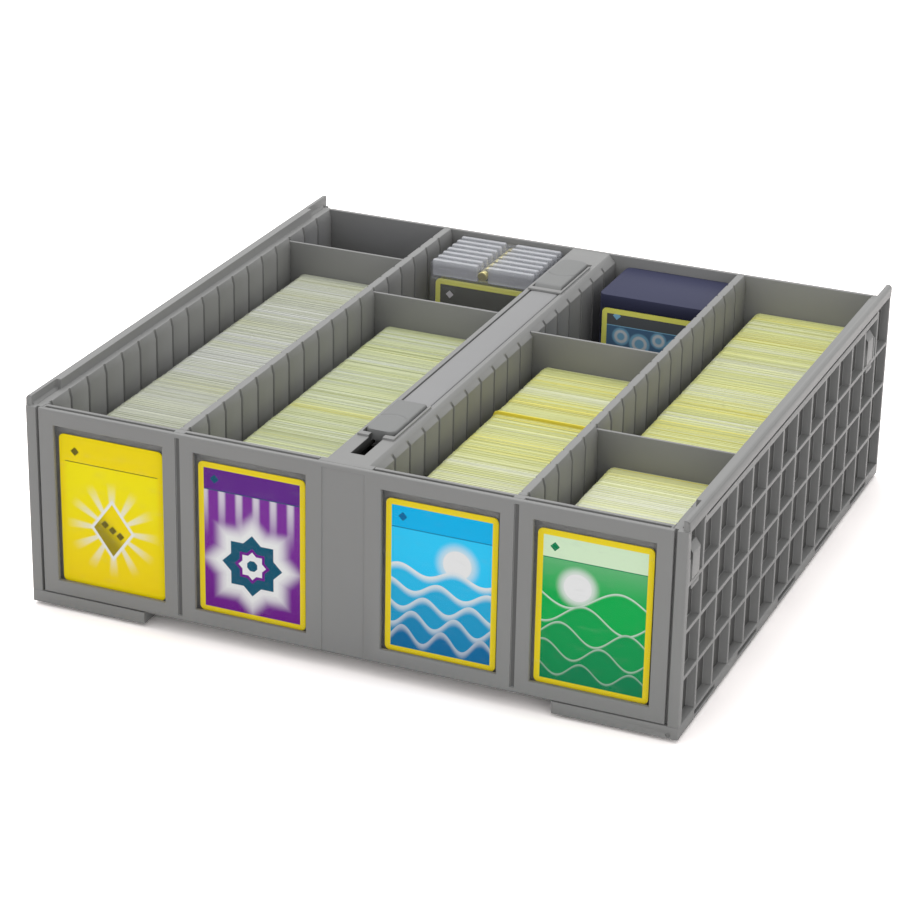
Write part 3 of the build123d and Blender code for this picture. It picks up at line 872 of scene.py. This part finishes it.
def card_mesh(
    name: str, centre: Vector, size: Vector, corner: float = CARD_CORNER, steps: int = 6
) -> Mesh:
    """A card that stands on edge and faces the front, with a UV map over its face.

    Args:
        name: The mesh's name.
        centre: The card's middle.
        size: Its width, thickness and height.
        corner: Radius of its corners.
        steps: Facets in each corner.

    Returns:
        The mesh.
    """
    build = bmesh.new()
    outline = card_outline(size.x, size.z, corner, steps)
    rings = []
    for y in (centre.y - size.y / 2, centre.y + size.y / 2):
        rings.append([build.verts.new((centre.x + x, y, centre.z + z)) for x, z in outline])
    build.faces.new(rings[0])
    build.faces.new(list(reversed(rings[1])))
    count = len(outline)
    for k in range(count):
        after = (k + 1) % count
        build.faces.new((rings[0][after], rings[0][k], rings[1][k], rings[1][after]))
    bmesh.ops.recalc_face_normals(build, faces=build.faces)
    layer = build.loops.layers.uv.new("UVMap")
    for face in build.faces:
        for loop in face.loops:
            place = loop.vert.co - centre
            loop[layer].uv = (0.5 + place.x / size.x, 0.5 + place.z / size.z)
    return mesh_from(build, name)


def printed_card(node: str, name: str, body: str, finish: PrintedCard, steps: int = 6) -> None:
    """Build the printed card that stands for a node.

    Args:
        node: The card's solid.
        name: The piece's name.
        body: The body that carries it.
        finish: Its print.
        steps: Facets in each corner.
    """
    low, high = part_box(node)
    mesh = card_mesh(node, (low + high) / 2, high - low, steps=steps)
    attach(new_object(name, mesh, finish), body, "label_print", node)


# The bin's mouldings


@dataclass
class Moulding:
    """One rigid moulding, taken from its solid with every sharp edge rounded, and with painted shade on the
    faces of its recesses.
    """

    node: str
    body: str
    slot: str
    finish: MouldedPlastic
    edge_radius: float = 0.28 * MM
    recesses: tuple[tuple[int, float], ...] = ()
    recess_shade_finish: MouldedPlastic = PAINTED_SHADE_GREY
    recess_slack: float = 0.05 * MM

    def build(self) -> None:
        """Copy the solid, merge its triangles to flat faces, round it and dress it.

        A recess is given by its axis and its distance from the bin's middle along it. Its faces take a
        darker finish, painted shade where shade falls in the recess.
        """
        build = bmesh.new()
        build.from_mesh(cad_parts[self.node].data)
        bmesh.ops.remove_doubles(build, verts=build.verts, dist=MERGE_GAP)
        bmesh.ops.dissolve_limit(
            build, angle_limit=FLAT_FOLD, verts=build.verts, edges=build.edges, delimit=set()
        )
        bmesh.ops.connect_verts_concave(build, faces=[face for face in build.faces if len(face.verts) > 4])
        piece = new_object(f"{self.node}_moulding", mesh_from(build, self.node))
        round_edges(piece, self.edge_radius)
        piece.data.materials.clear()
        piece.data.materials.append(material_of(self.finish))
        if self.recesses:
            piece.data.materials.append(material_of(self.recess_shade_finish))
        # Faces deep in each recess get the darker finish: painted shade.
        for axis, place in self.recesses:
            for face in piece.data.polygons:
                near = abs(abs(face.center[axis]) - place) < self.recess_slack
                if near and abs(face.normal[axis]) > 0.99:
                    face.material_index = 1
        attach(piece, self.body, self.slot, self.node)


@dataclass
class Strap:
    """The carrying strap: end stretches with raised pads, and the middle stretch."""

    half: float = 8.6 * MM
    thickness: float = 2.8 * MM
    pad_rise: float = 3.1 * MM
    pad_fall: float = 3 * MM
    edge_round: float = 0.8 * MM
    crown: float = 0.15 * MM
    tip_round: float = 5.0 * MM
    crease_depth: float = 0.6 * MM
    crease_width: float = 0.9 * MM
    crease_bow: float = 4.5 * MM
    bow_fade: float = 8 * MM
    front_pad: float = 46 * MM
    front_crease: float = 19 * MM
    rear_pad: float = 48.2 * MM
    rear_crease: float = 25 * MM
    flat: float = 12 * MM
    step: float = 1.0 * MM
    stem_half: float = 3.5 * MM
    stem_foot: float = 1.0 * MM
    head_half: float = 7 * MM
    head_height: float = 2.1 * MM
    head_length: float = 8 * MM
    head_from_tip: float = 2.5 * MM

    def width_at(self, from_tip: float) -> float:
        """Half the strap's width at a distance from its tip, less the rounding of the tip."""
        short = max(0.0, self.tip_round - from_tip)
        return self.half - (self.tip_round - math.sqrt(self.tip_round**2 - short * short))

    def top_at(self, from_tip: float, pad: float, crease: float) -> float:
        """Height of the strap's top above its underside.

        Args:
            from_tip: Distance from the end's tip.
            pad: The pad's length from the tip.
            crease: Where the crease crosses, from the tip.

        Returns:
            The height.
        """
        share = min(1.0, max(0.0, (pad - from_tip) / self.pad_fall))
        height = self.thickness + self.pad_rise * share * share * (3 - 2 * share)
        near = abs(from_tip - crease) / self.crease_width
        return height - self.crease_depth * max(0.0, 1.0 - near * near)

    def section(self, half: float, top: float) -> list[tuple[float, float]]:
        """Points around the strap's section, from its right underside over the top to its left.

        Args:
            half: Half its width.
            top: Height of its top.

        Returns:
            The points.
        """
        edge = min(self.edge_round, half * 0.4)
        inner = half - edge
        side = [(half, 0.0), (half, top - edge), (half - 0.3 * edge, top - 0.3 * edge), (inner, top)]
        right = side + [(inner / 2, top + self.crown * 0.75), (0.0, top + self.crown)]
        left = [(-x, z) for x, z in reversed(right[:-1])]
        return [(x, min(z, self.thickness + self.pad_rise)) for x, z in right + left]

    def loft(
        self, name: str, stations: Sequence[Section], base: float, bow: Callable[[float], float]
    ) -> Object:
        """Skin the sections along the strap.

        Args:
            name: The piece's name.
            stations: Place along the bin, half width and top of each section.
            base: Height of the strap's underside.
            bow: How far a section's middle stands ahead of its sides at that place.

        Returns:
            The piece.
        """
        build = bmesh.new()
        rings = []
        for y, half, top in stations:
            points = self.section(half, top)
            rings.append([
                build.verts.new((x, y + bow(y) * (1 - (x / half) ** 2), base + z)) for x, z in points
            ])
        count = len(rings[0])
        for before, after in zip(rings, rings[1:]):
            for k in range(count):
                step = (k + 1) % count
                build.faces.new((before[k], before[step], after[step], after[k]))
        build.faces.new(rings[0])
        build.faces.new(rings[-1])
        bmesh.ops.recalc_face_normals(build, faces=build.faces)
        piece = new_object(name, mesh_from(build, name), STRAP_GREY)
        piece.data.shade_smooth()
        piece.data.set_sharp_from_angle(angle=STRAP_FOLD)
        return piece

    def end_stretch(self, end: str, tip: float, root: float, pad: float, crease: float) -> None:
        """Build one end with its pad and the stretch that runs to the middle stretch.

        Args:
            end: Which end it is, front or rear.
            tip: Place of the tip along the bin.
            root: Place of the other end.
            pad: The pad's length.
            crease: Where the crease crosses, from the tip.
        """
        sign = 1 if root > tip else -1
        length = abs(root - tip)
        count = int(length / self.step)
        distances = [0.05 * MM, 0.5 * MM] + [length * k / count for k in range(1, count + 1)]
        stations = [(tip + sign * d, self.width_at(d), self.top_at(d, pad, crease)) for d in distances]
        bend = [(tip + sign * (pad + self.flat), "bin"), (root, "strap_middle")]
        if sign < 0:
            stations.reverse()
            bend.reverse()

        def bow(y: float) -> float:
            """Bow of the crease, which fades out either side of it."""
            near = (abs(y - tip) - crease) / self.bow_fade
            return sign * self.crease_bow * max(0.0, 1.0 - near * near)

        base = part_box("strap_grip")[0].z
        piece = self.loft(f"strap_{end}_stretch", stations, base, bow)
        piece.data.materials.append(material_of(PAD_GREY))
        for face in piece.data.polygons:
            face.material_index = int(abs(face.center.y - tip) < pad)
        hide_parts(f"strap_{end}_end")
        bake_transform(piece)

    def anchor(self, end: str, tip: float, inward: int) -> None:
        """Build the stem and cross head under a strap end.

        Args:
            end: Which end it is, front or rear.
            tip: Place of the strap's tip along the bin.
            inward: The sign of the way from the tip to the strap's middle.
        """
        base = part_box("strap_grip")[0].z
        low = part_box("strap_front_end")[0].z
        middle = tip + inward * (self.head_from_tip + self.head_length / 2)
        stem = (self.stem_half, low + self.stem_foot, base)
        head = (self.head_half, low, low + self.head_height)
        build = bmesh.new()
        for half, bottom, top in (stem, head):
            add_block(build, (0, middle, (bottom + top) / 2), (2 * half, self.head_length, top - bottom))
        name = f"strap_{end}_head"
        piece = new_object(name, mesh_from(build, name), STRAP_GREY)
        round_edges(piece, 0.4 * MM)
        attach(piece, "bin", "strap")

    def build(self) -> None:
        """Build the three stretches and the heads under the two ends."""
        low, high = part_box("strap_grip")
        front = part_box("strap_front_end")[0].y
        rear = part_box("strap_rear_end")[1].y
        count = int((high.y - low.y) / self.step)
        stations = [
            (low.y + (high.y - low.y) * k / count, self.half, self.thickness) for k in range(count + 1)
        ]
        middle = self.loft("strap_middle_stretch", stations, low.z, lambda y: 0.0)
        attach(middle, "strap_middle", "strap", "strap_grip")
        self.end_stretch("front", front, low.y, self.front_pad, self.front_crease)
        self.end_stretch("rear", rear, high.y, self.rear_pad, self.rear_crease)
        self.anchor("front", front, 1)
        self.anchor("rear", rear, -1)


# Cards and labels


class RowTree:
    """The Geometry Nodes tree that stands cards in a row."""

    LEAN_AXES = (1.0, 0.35, 0.5)
    WANDER_SCALE = 45.0
    INPUTS = {
        "Card width": "Float", "Card height": "Float", "Card thickness": "Float", "Corner radius": "Float",
        "Count": "Int", "Start": "Vector", "Step": "Vector", "Height scatter": "Float",
        "Side scatter": "Float", "Drift": "Float", "Lean": "Float", "Seed": "Int", "Finish": "Material",
    }

    def __init__(self) -> None:
        """Build the tree with named inputs for its sizes."""
        self.tree = bpy.data.node_groups.new("card_row", "GeometryNodeTree")
        face = self.tree.interface
        self.sockets = {
            label: face.new_socket(label, in_out="INPUT", socket_type=f"NodeSocket{kind}").identifier
            for label, kind in self.INPUTS.items()
        }
        face.new_socket("Geometry", in_out="OUTPUT", socket_type="NodeSocketGeometry")
        self.given = add_node(self.tree, "NodeGroupInput").outputs
        lean = self.scatter("Lean", self.LEAN_AXES, 3)
        place = self.add(
            "GeometryNodeInstanceOnPoints",
            {"Points": self.points(), "Instance": self.card(), "Rotation": lean},
        )
        tint = self.add("FunctionNodeRandomValue", {"Seed": self.given["Seed"]}, 1)
        tinted = self.add(
            "GeometryNodeStoreNamedAttribute", {"Geometry": place, "Name": "card_tint", "Value": tint},
            domain="INSTANCE",
        )
        real = self.add("GeometryNodeRealizeInstances", {0: tinted})
        dressed = self.add("GeometryNodeSetMaterial", {"Geometry": real, "Material": self.given["Finish"]})
        add_node(self.tree, "NodeGroupOutput", {0: dressed})

    def add(
        self, kind: str, inputs: dict[str | int, object], output: str | int = 0, **settings: object
    ) -> NodeSocket:
        """Add a node to the tree.

        Args:
            kind: Blender's name of the node's type.
            inputs: Sockets to link and plain values, by the input's name or place.
            output: Name or place of the output that is wanted.
            settings: Settings of the node itself.

        Returns:
            That output's socket.
        """
        return add_node(self.tree, kind, inputs, **settings).outputs[output]

    def card(self) -> NodeSocket:
        """One card on edge, with its foot at the origin.

        Returns:
            The socket that carries it.
        """
        given = self.given
        outline = self.add(
            "GeometryNodeCurvePrimitiveQuadrilateral",
            {"Width": given["Card width"], "Height": given["Card height"]},
        )
        trimmed = self.add(
            "GeometryNodeFilletCurve", {"Count": 2, "Curve": outline, "Radius": given["Corner radius"]},
            mode="POLY",
        )
        sheet = self.add("GeometryNodeFillCurve", {"Curve": trimmed}, mode="NGONS")
        thick = self.add(
            "GeometryNodeExtrudeMesh",
            {"Individual": False, "Mesh": sheet, "Offset Scale": given["Card thickness"]},
        )
        back = self.add("GeometryNodeFlipFaces", {"Mesh": sheet})
        whole = add_node(self.tree, "GeometryNodeJoinGeometry")
        for part in (thick, back):
            self.tree.links.new(part, whole.inputs[0])
        closed = self.add(
            "GeometryNodeMergeByDistance", {"Distance": MERGE_GAP, "Geometry": whole.outputs[0]}
        )
        lift = self.add("ShaderNodeCombineXYZ", {"Z": Field(self.tree, given["Card height"]) * 0.5})
        return self.add(
            "GeometryNodeTransform",
            {"Geometry": closed, "Translation": lift, "Rotation": (FULL_TURN / 4, 0.0, 0.0)},
        )

    def points(self) -> NodeSocket:
        """The feet of the cards, scattered a little and with a slow drift along the row.

        Returns:
            The socket that carries them.
        """
        given = self.given
        points = self.add(
            "GeometryNodeMeshLine",
            {"Count": given["Count"], "Start Location": given["Start"], "Offset": given["Step"]},
            mode="OFFSET",
        )
        wander = self.add("ShaderNodeTexNoise", {"Scale": self.WANDER_SCALE}, "Color")
        centred = self.add("ShaderNodeVectorMath", {0: wander, 1: (0.5, 0.5, 0.5)}, operation="SUBTRACT")
        sideways = self.add("ShaderNodeCombineXYZ", {"X": given["Drift"]})
        drift = self.add("ShaderNodeVectorMath", {0: centred, 1: sideways}, operation="MULTIPLY")
        aside = self.scatter("Side scatter", (1.0, 0.0, 0.0), 1)
        above = self.scatter("Height scatter", (0.0, 0.0, 1.0), 2, low=0.0)
        for offset in (aside, above, drift):
            points = self.add("GeometryNodeSetPosition", {"Geometry": points, "Offset": offset})
        return points

    def scatter(self, size: str, axes: Section, offset: int, low: float = -1.0) -> NodeSocket:
        """Random vectors, one for each card.

        Args:
            size: Name of the input that gives their size.
            axes: Share of the size on each axis.
            offset: What is added to the seed.
            low: Lower limit as a share of the size.

        Returns:
            The socket that carries them.
        """
        seed = Field(self.tree, self.given["Seed"]) + offset
        chance = self.add(
            "FunctionNodeRandomValue",
            {"Min": tuple(low * axis for axis in axes), "Max": axes, "Seed": seed},
            data_type="FLOAT_VECTOR",
        )
        return self.add("ShaderNodeVectorMath", {0: chance, "Scale": self.given[size]}, operation="SCALE")


@dataclass
class CardRow:
    """A row of cards that stands on edge in a lane."""

    node: str
    body: str
    slot: str
    finish: CardEdges
    tree: RowTree
    seed: int
    pitch: float = 0.34 * MM
    thickness: float = 0.29 * MM
    height_scatter: float = 0.35 * MM
    side_scatter: float = 0.35 * MM
    drift: float = 1.0 * MM
    lean: float = 0.0006
    corner: float = CARD_CORNER
    headroom: float = 0.35 * MM

    def build(self) -> None:
        """Fill the solid's length with cards."""
        low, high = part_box(self.node)
        length = high.y - low.y
        count = max(2, round(length / self.pitch))
        step = (length - self.pitch) / (count - 1)
        values = {
            "Card width": high.x - low.x, "Card height": high.z - low.z - self.headroom,
            "Card thickness": self.thickness, "Corner radius": self.corner, "Count": count,
            "Start": ((low.x + high.x) / 2, low.y + self.pitch, low.z), "Step": (0.0, step, 0.0),
            "Height scatter": self.height_scatter, "Side scatter": self.side_scatter,
            "Drift": self.drift, "Lean": self.lean, "Seed": self.seed,
            "Finish": material_of(self.finish),
        }
        piece = new_object(f"{self.node}_row", bpy.data.meshes.new(self.node))
        modifier = piece.modifiers.new("row", "NODES")
        modifier.node_group = self.tree.tree
        for label, value in values.items():
            modifier[self.tree.sockets[label]] = value
        apply_modifiers(piece)
        attach(piece, self.body, self.slot, self.node)


@dataclass
class Label:
    """A printed card in a clear rigid sleeve that stands in a slot of the front."""

    number: int
    sheet: float = 0.5 * MM
    corner: float = 3.2 * MM
    seam: float = 2.2 * MM
    foot_rise: float = 1.2 * MM
    foot_height: float = 1.6 * MM

    def build(self) -> None:
        """Build the card, the sleeve's two sheets and the seams that join them at three sides."""
        body = f"label_{self.number}"
        printed_card(f"label_card_{self.number}", f"{body}_card", body, LABELS[self.number], 8)
        node = f"label_sleeve_{self.number}"
        low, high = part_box(node)
        centre, size = (low + high) / 2, high - low
        build = bmesh.new()
        for y in (low.y + self.sheet / 2, high.y - self.sheet / 2):
            middle, sides = Vector((centre.x, y, centre.z)), Vector((size.x, self.sheet, size.z))
            sheet = card_mesh(node, middle, sides, self.corner)
            build.from_mesh(sheet)
            bpy.data.meshes.remove(sheet)
        gap = size.y - 2 * self.sheet
        tall, wide = size.z - 4 * self.seam, size.x - 4 * self.seam
        for x, z, width, height in (
            (low.x + self.seam, centre.z, 2 * self.seam, tall),
            (high.x - self.seam, centre.z, 2 * self.seam, tall),
            (centre.x, low.z + self.foot_rise, wide, self.foot_height),
        ):
            add_block(build, (x, centre.y, z), (width, gap, height))
        piece = new_object(f"{body}_sleeve", mesh_from(build, node), SLEEVE_CLEAR)
        attach(piece, body, "clear_sleeve", node)


@dataclass
class CardCase:
    """A rigid clear case around one card, with a pale ridge on each side of its gold magnet whose colour is
    a painted highlight along the case's top.
    """

    number: int
    head: float = 11.5 * MM
    edge: float = 1.1 * MM
    head_edge: float = 2.0 * MM
    slack: float = 0.25 * MM
    ridge_half: float = 1.6 * MM
    ridge_inset: float = 1.2 * MM
    ridge_rise: float = 0.9 * MM
    ridge_gap: float = 3.4 * MM

    def block(self, part: str, low: Section, high: Section, radius: float, finish: ClearPlastic) -> None:
        """Build one part of the shell, a block with rounded edges.

        Args:
            part: What the part is called.
            low: Its low corner.
            high: Its high corner.
            radius: How far the rounding reaches from each edge.
            finish: Its finish.
        """
        low, high = Vector(low), Vector(high)
        build = bmesh.new()
        add_block(build, (low + high) / 2, high - low)
        name = f"case_{self.number}_{part}"
        piece = new_object(name, mesh_from(build, name), finish)
        round_edges(piece, radius, 3)
        attach(piece, f"case_{self.number}", "clear_case", f"card_case_{self.number}")

    def build(self) -> None:
        """Build the shell's clear body, head and pale ridges that carry the painted highlight, the card and
        the magnet.
        """
        body = f"case_{self.number}"
        low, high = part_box(f"card_case_{self.number}")
        middle = (low + high) / 2
        front, rear = low.y + self.slack, high.y - self.slack
        split, head_top = high.z - self.head, high.z - self.ridge_rise
        self.block("clear_body", (low.x, front, low.z), (high.x, rear, split), self.edge, CASE_CLEAR)
        self.block("head", (low.x, front, split), (high.x, rear, head_top), self.head_edge, CASE_HEAD)
        for side, from_x, to_x in (
            ("left", low.x + self.ridge_inset, middle.x - self.ridge_gap),
            ("right", middle.x + self.ridge_gap, high.x - self.ridge_inset),
        ):
            self.block(
                f"ridge_{side}", (from_x, middle.y - self.ridge_half, split + self.edge),
                (to_x, middle.y + self.ridge_half, high.z), self.ridge_rise, CASE_HIGHLIGHT_RIDGE,
            )
        printed_card(f"case_card_{self.number}", f"{body}_card", body, CASE_PRINT)
        self.magnet(body)

    def magnet(self, body: str) -> None:
        """Build the round magnet with its rounded rim.

        Args:
            body: The body that carries it.
        """
        node = f"case_magnet_{self.number}"
        low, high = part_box(node)
        radius = (high.x - low.x) / 2
        build = bmesh.new()
        bmesh.ops.create_cone(
            build, cap_ends=True, segments=32, radius1=radius, radius2=radius, depth=high.y - low.y
        )
        for vert in build.verts:
            vert.co = Vector((vert.co.x, vert.co.z, vert.co.y)) + (low + high) / 2
        bmesh.ops.recalc_face_normals(build, faces=build.faces)
        piece = new_object(f"{body}_magnet", mesh_from(build, node), GOLD)
        round_edges(piece, 0.5 * MM, 3)
        attach(piece, body, "magnet", node)


# Stage, light and camera


@dataclass
class Studio:
    """A pale floor, soft light from above and the camera at the photograph's angle."""

    camera_place: Section = (596.88 * MM, -1466.38 * MM, 748.22 * MM)
    azimuth: float = 22.646
    elevation: float = 23.753
    roll: float = 1.152
    lens: float = 118.352
    sensor: float = 36.0
    sight: float = 50.0
    floor_half: float = 6.0
    floor_bounce: Colour = (0.60, 0.60, 0.60)
    floor_seen: Colour = (1.66, 1.59, 1.57)
    sky: float = 0.80
    lamp_size: float = 1.2
    aim: Section = (0.0, 0.0, 0.1)
    key_power: float = 24.5
    front_power: float = 1.15
    side_power: float = 7.5

    def camera(self) -> None:
        """Place the camera and make it the scene's own."""
        azimuth, elevation = math.radians(self.azimuth), math.radians(self.elevation)
        back = Vector((
            math.sin(azimuth) * math.cos(elevation),
            -math.cos(azimuth) * math.cos(elevation),
            math.sin(elevation),
        ))
        right = (-back).cross(Vector((0, 0, 1))).normalized()
        up = right.cross(-back)
        roll = math.radians(self.roll)
        rolled_right = right * math.cos(roll) + up * math.sin(roll)
        rolled_up = up * math.cos(roll) - right * math.sin(roll)
        data = bpy.data.cameras.new("camera")
        data.lens = self.lens
        data.sensor_width = self.sensor
        data.clip_end = self.sight
        camera = new_object("camera", data)
        camera.matrix_world = Matrix((rolled_right, rolled_up, back)).transposed().to_4x4()
        camera.location = self.camera_place
        bpy.context.scene.camera = camera

    def floor(self) -> None:
        """Lay the floor, whiter to the camera than in what it throws back on the bin."""
        material = bpy.data.materials.new("floor")
        material.use_nodes = True
        tree = material.node_tree
        tree.nodes.clear()
        mix = add_node(
            tree, "ShaderNodeMix",
            {"A": (*self.floor_bounce, 1.0), "B": (*self.floor_seen, 1.0), "Factor": straight_to_eye(tree)},
            data_type="RGBA",
        )
        shader = add_node(tree, "ShaderNodeBsdfDiffuse", {"Color": mix.outputs["Result"]})
        add_node(tree, "ShaderNodeOutputMaterial", {"Surface": shader.outputs[0]})
        build = bmesh.new()
        bmesh.ops.create_grid(build, x_segments=1, y_segments=1, size=self.floor_half)
        piece = new_object("floor", mesh_from(build, "floor"))
        piece.data.materials.append(material)

    def world(self) -> None:
        """Surround the scene with an even sky that looks white."""
        world = bpy.data.worlds.new("studio")
        bpy.context.scene.world = world
        world.use_nodes = True
        tree = world.node_tree
        strength = straight_to_eye(tree) * (1.0 - self.sky) + self.sky
        fill_inputs(tree, tree.nodes["Background"], {"Color": (1.0, 1.0, 1.0, 1.0), "Strength": strength})

    def lamp(self, name: str, place: Section, power: float) -> None:
        """Hang a square soft lamp that points at the bin.

        Args:
            name: The lamp's name.
            place: Where it hangs.
            power: Its power in watts.
        """
        data = bpy.data.lights.new(name, "AREA")
        data.size = self.lamp_size
        data.energy = power
        lamp = new_object(name, data)
        lamp.location = place
        lamp.rotation_euler = (Vector(self.aim) - Vector(place)).to_track_quat("-Z", "Y").to_euler()

    def build(self) -> None:
        """Set up the whole studio."""
        self.camera()
        self.floor()
        self.world()
        self.lamp("key", (-0.35, 0.35, 1.95), self.key_power)
        self.lamp("front_fill", (-0.3, -2.4, 0.6), self.front_power)
        self.lamp("side_fill", (1.7, -1.8, 0.5), self.side_power)
        bpy.context.scene.view_settings.view_transform = "Standard"


def build_bin() -> None:
    """Build the bin's own mouldings, the loose dividers and the strap."""
    side_sheet, back_sheet, slot_side = (0, 183.85 * MM), (1, 179.8 * MM), (0, 4.0 * MM)
    # The crate sheets of the side walls and back panel and the walls of the spine's slot get painted shade.
    recesses = {
        "side_wall_left": (side_sheet,), "side_wall_right": (side_sheet,), "back_panel": (back_sheet,),
        "spine": (slot_side,),
    }
    for node in (
        "base", "side_wall_left", "side_wall_right", "front_liner_left", "front_liner_right",
        "back_panel", "lane_wall_left", "lane_wall_right", "spine",
    ):
        Moulding(node, "bin", "bin_plastic", GREY, recesses=recesses.get(node, ())).build()
    # The recessed seam faces of the front panel get painted shade.
    front_seam = (1, 184.8 * MM)
    Moulding(
        "front_panel", "bin", "bin_plastic", GREY, recesses=(front_seam,), recess_shade_finish=SEAM_SHADE_GREY
    ).build()
    for number in range(1, 5):
        Moulding(f"divider_{number}", f"divider_{number}_plate", "divider", GREY, 0.35 * MM).build()
    Strap().build()


def build_contents() -> None:
    """Build everything that stands in the lanes and in the label slots."""
    tree = RowTree()
    for node, finish, seed in (
        ("cards_lane_1", PALE_EDGES, 11), ("cards_lane_2", GREEN_EDGES, 23),
        ("cards_lane_3_front", YELLOW_EDGES, 37), ("cards_lane_3_rear", YELLOW_EDGES, 41),
        ("cards_lane_4_front", LIT_YELLOW_EDGES, 59), ("cards_lane_4_rear", YELLOW_EDGES, 67),
    ):
        CardRow(node, f"{node}_row", "card_stock", finish, tree, seed).build()
    CardRow(
        "index_card_lane_3", "index_card", "card_stock", INDEX_EDGES, tree, 71, pitch=0.4 * MM,
        thickness=0.34 * MM, height_scatter=0.0, side_scatter=0.0, drift=0.0, headroom=0.0,
    ).build()
    CardRow(
        "sleeved_pack_lane_1", "sleeved_pack", "navy_sleeve", NAVY_SLEEVES, tree, 83, pitch=0.8 * MM,
        thickness=0.62 * MM, side_scatter=0.5 * MM, corner=1.0 * MM,
    ).build()
    for number in range(1, 5):
        Label(number).build()
    for number in range(1, 8):
        CardCase(number).build()
    for node, body in (("deck_box", "deck_box_body"), ("deck_box_lid", "deck_box_cap")):
        Moulding(node, body, "deck_plastic", NAVY, 0.25 * MM).build()
    printed_card("deck_box_card", "deck_box_front_card", "deck_box_body", DECK_PRINT)


def main() -> None:
    """Build the studio, the bin and its contents."""
    logging.basicConfig(level=logging.INFO, format="%(name)s: %(message)s")
    Studio().build()
    build_bin()
    build_contents()


if __name__ == "__main__":
    main()
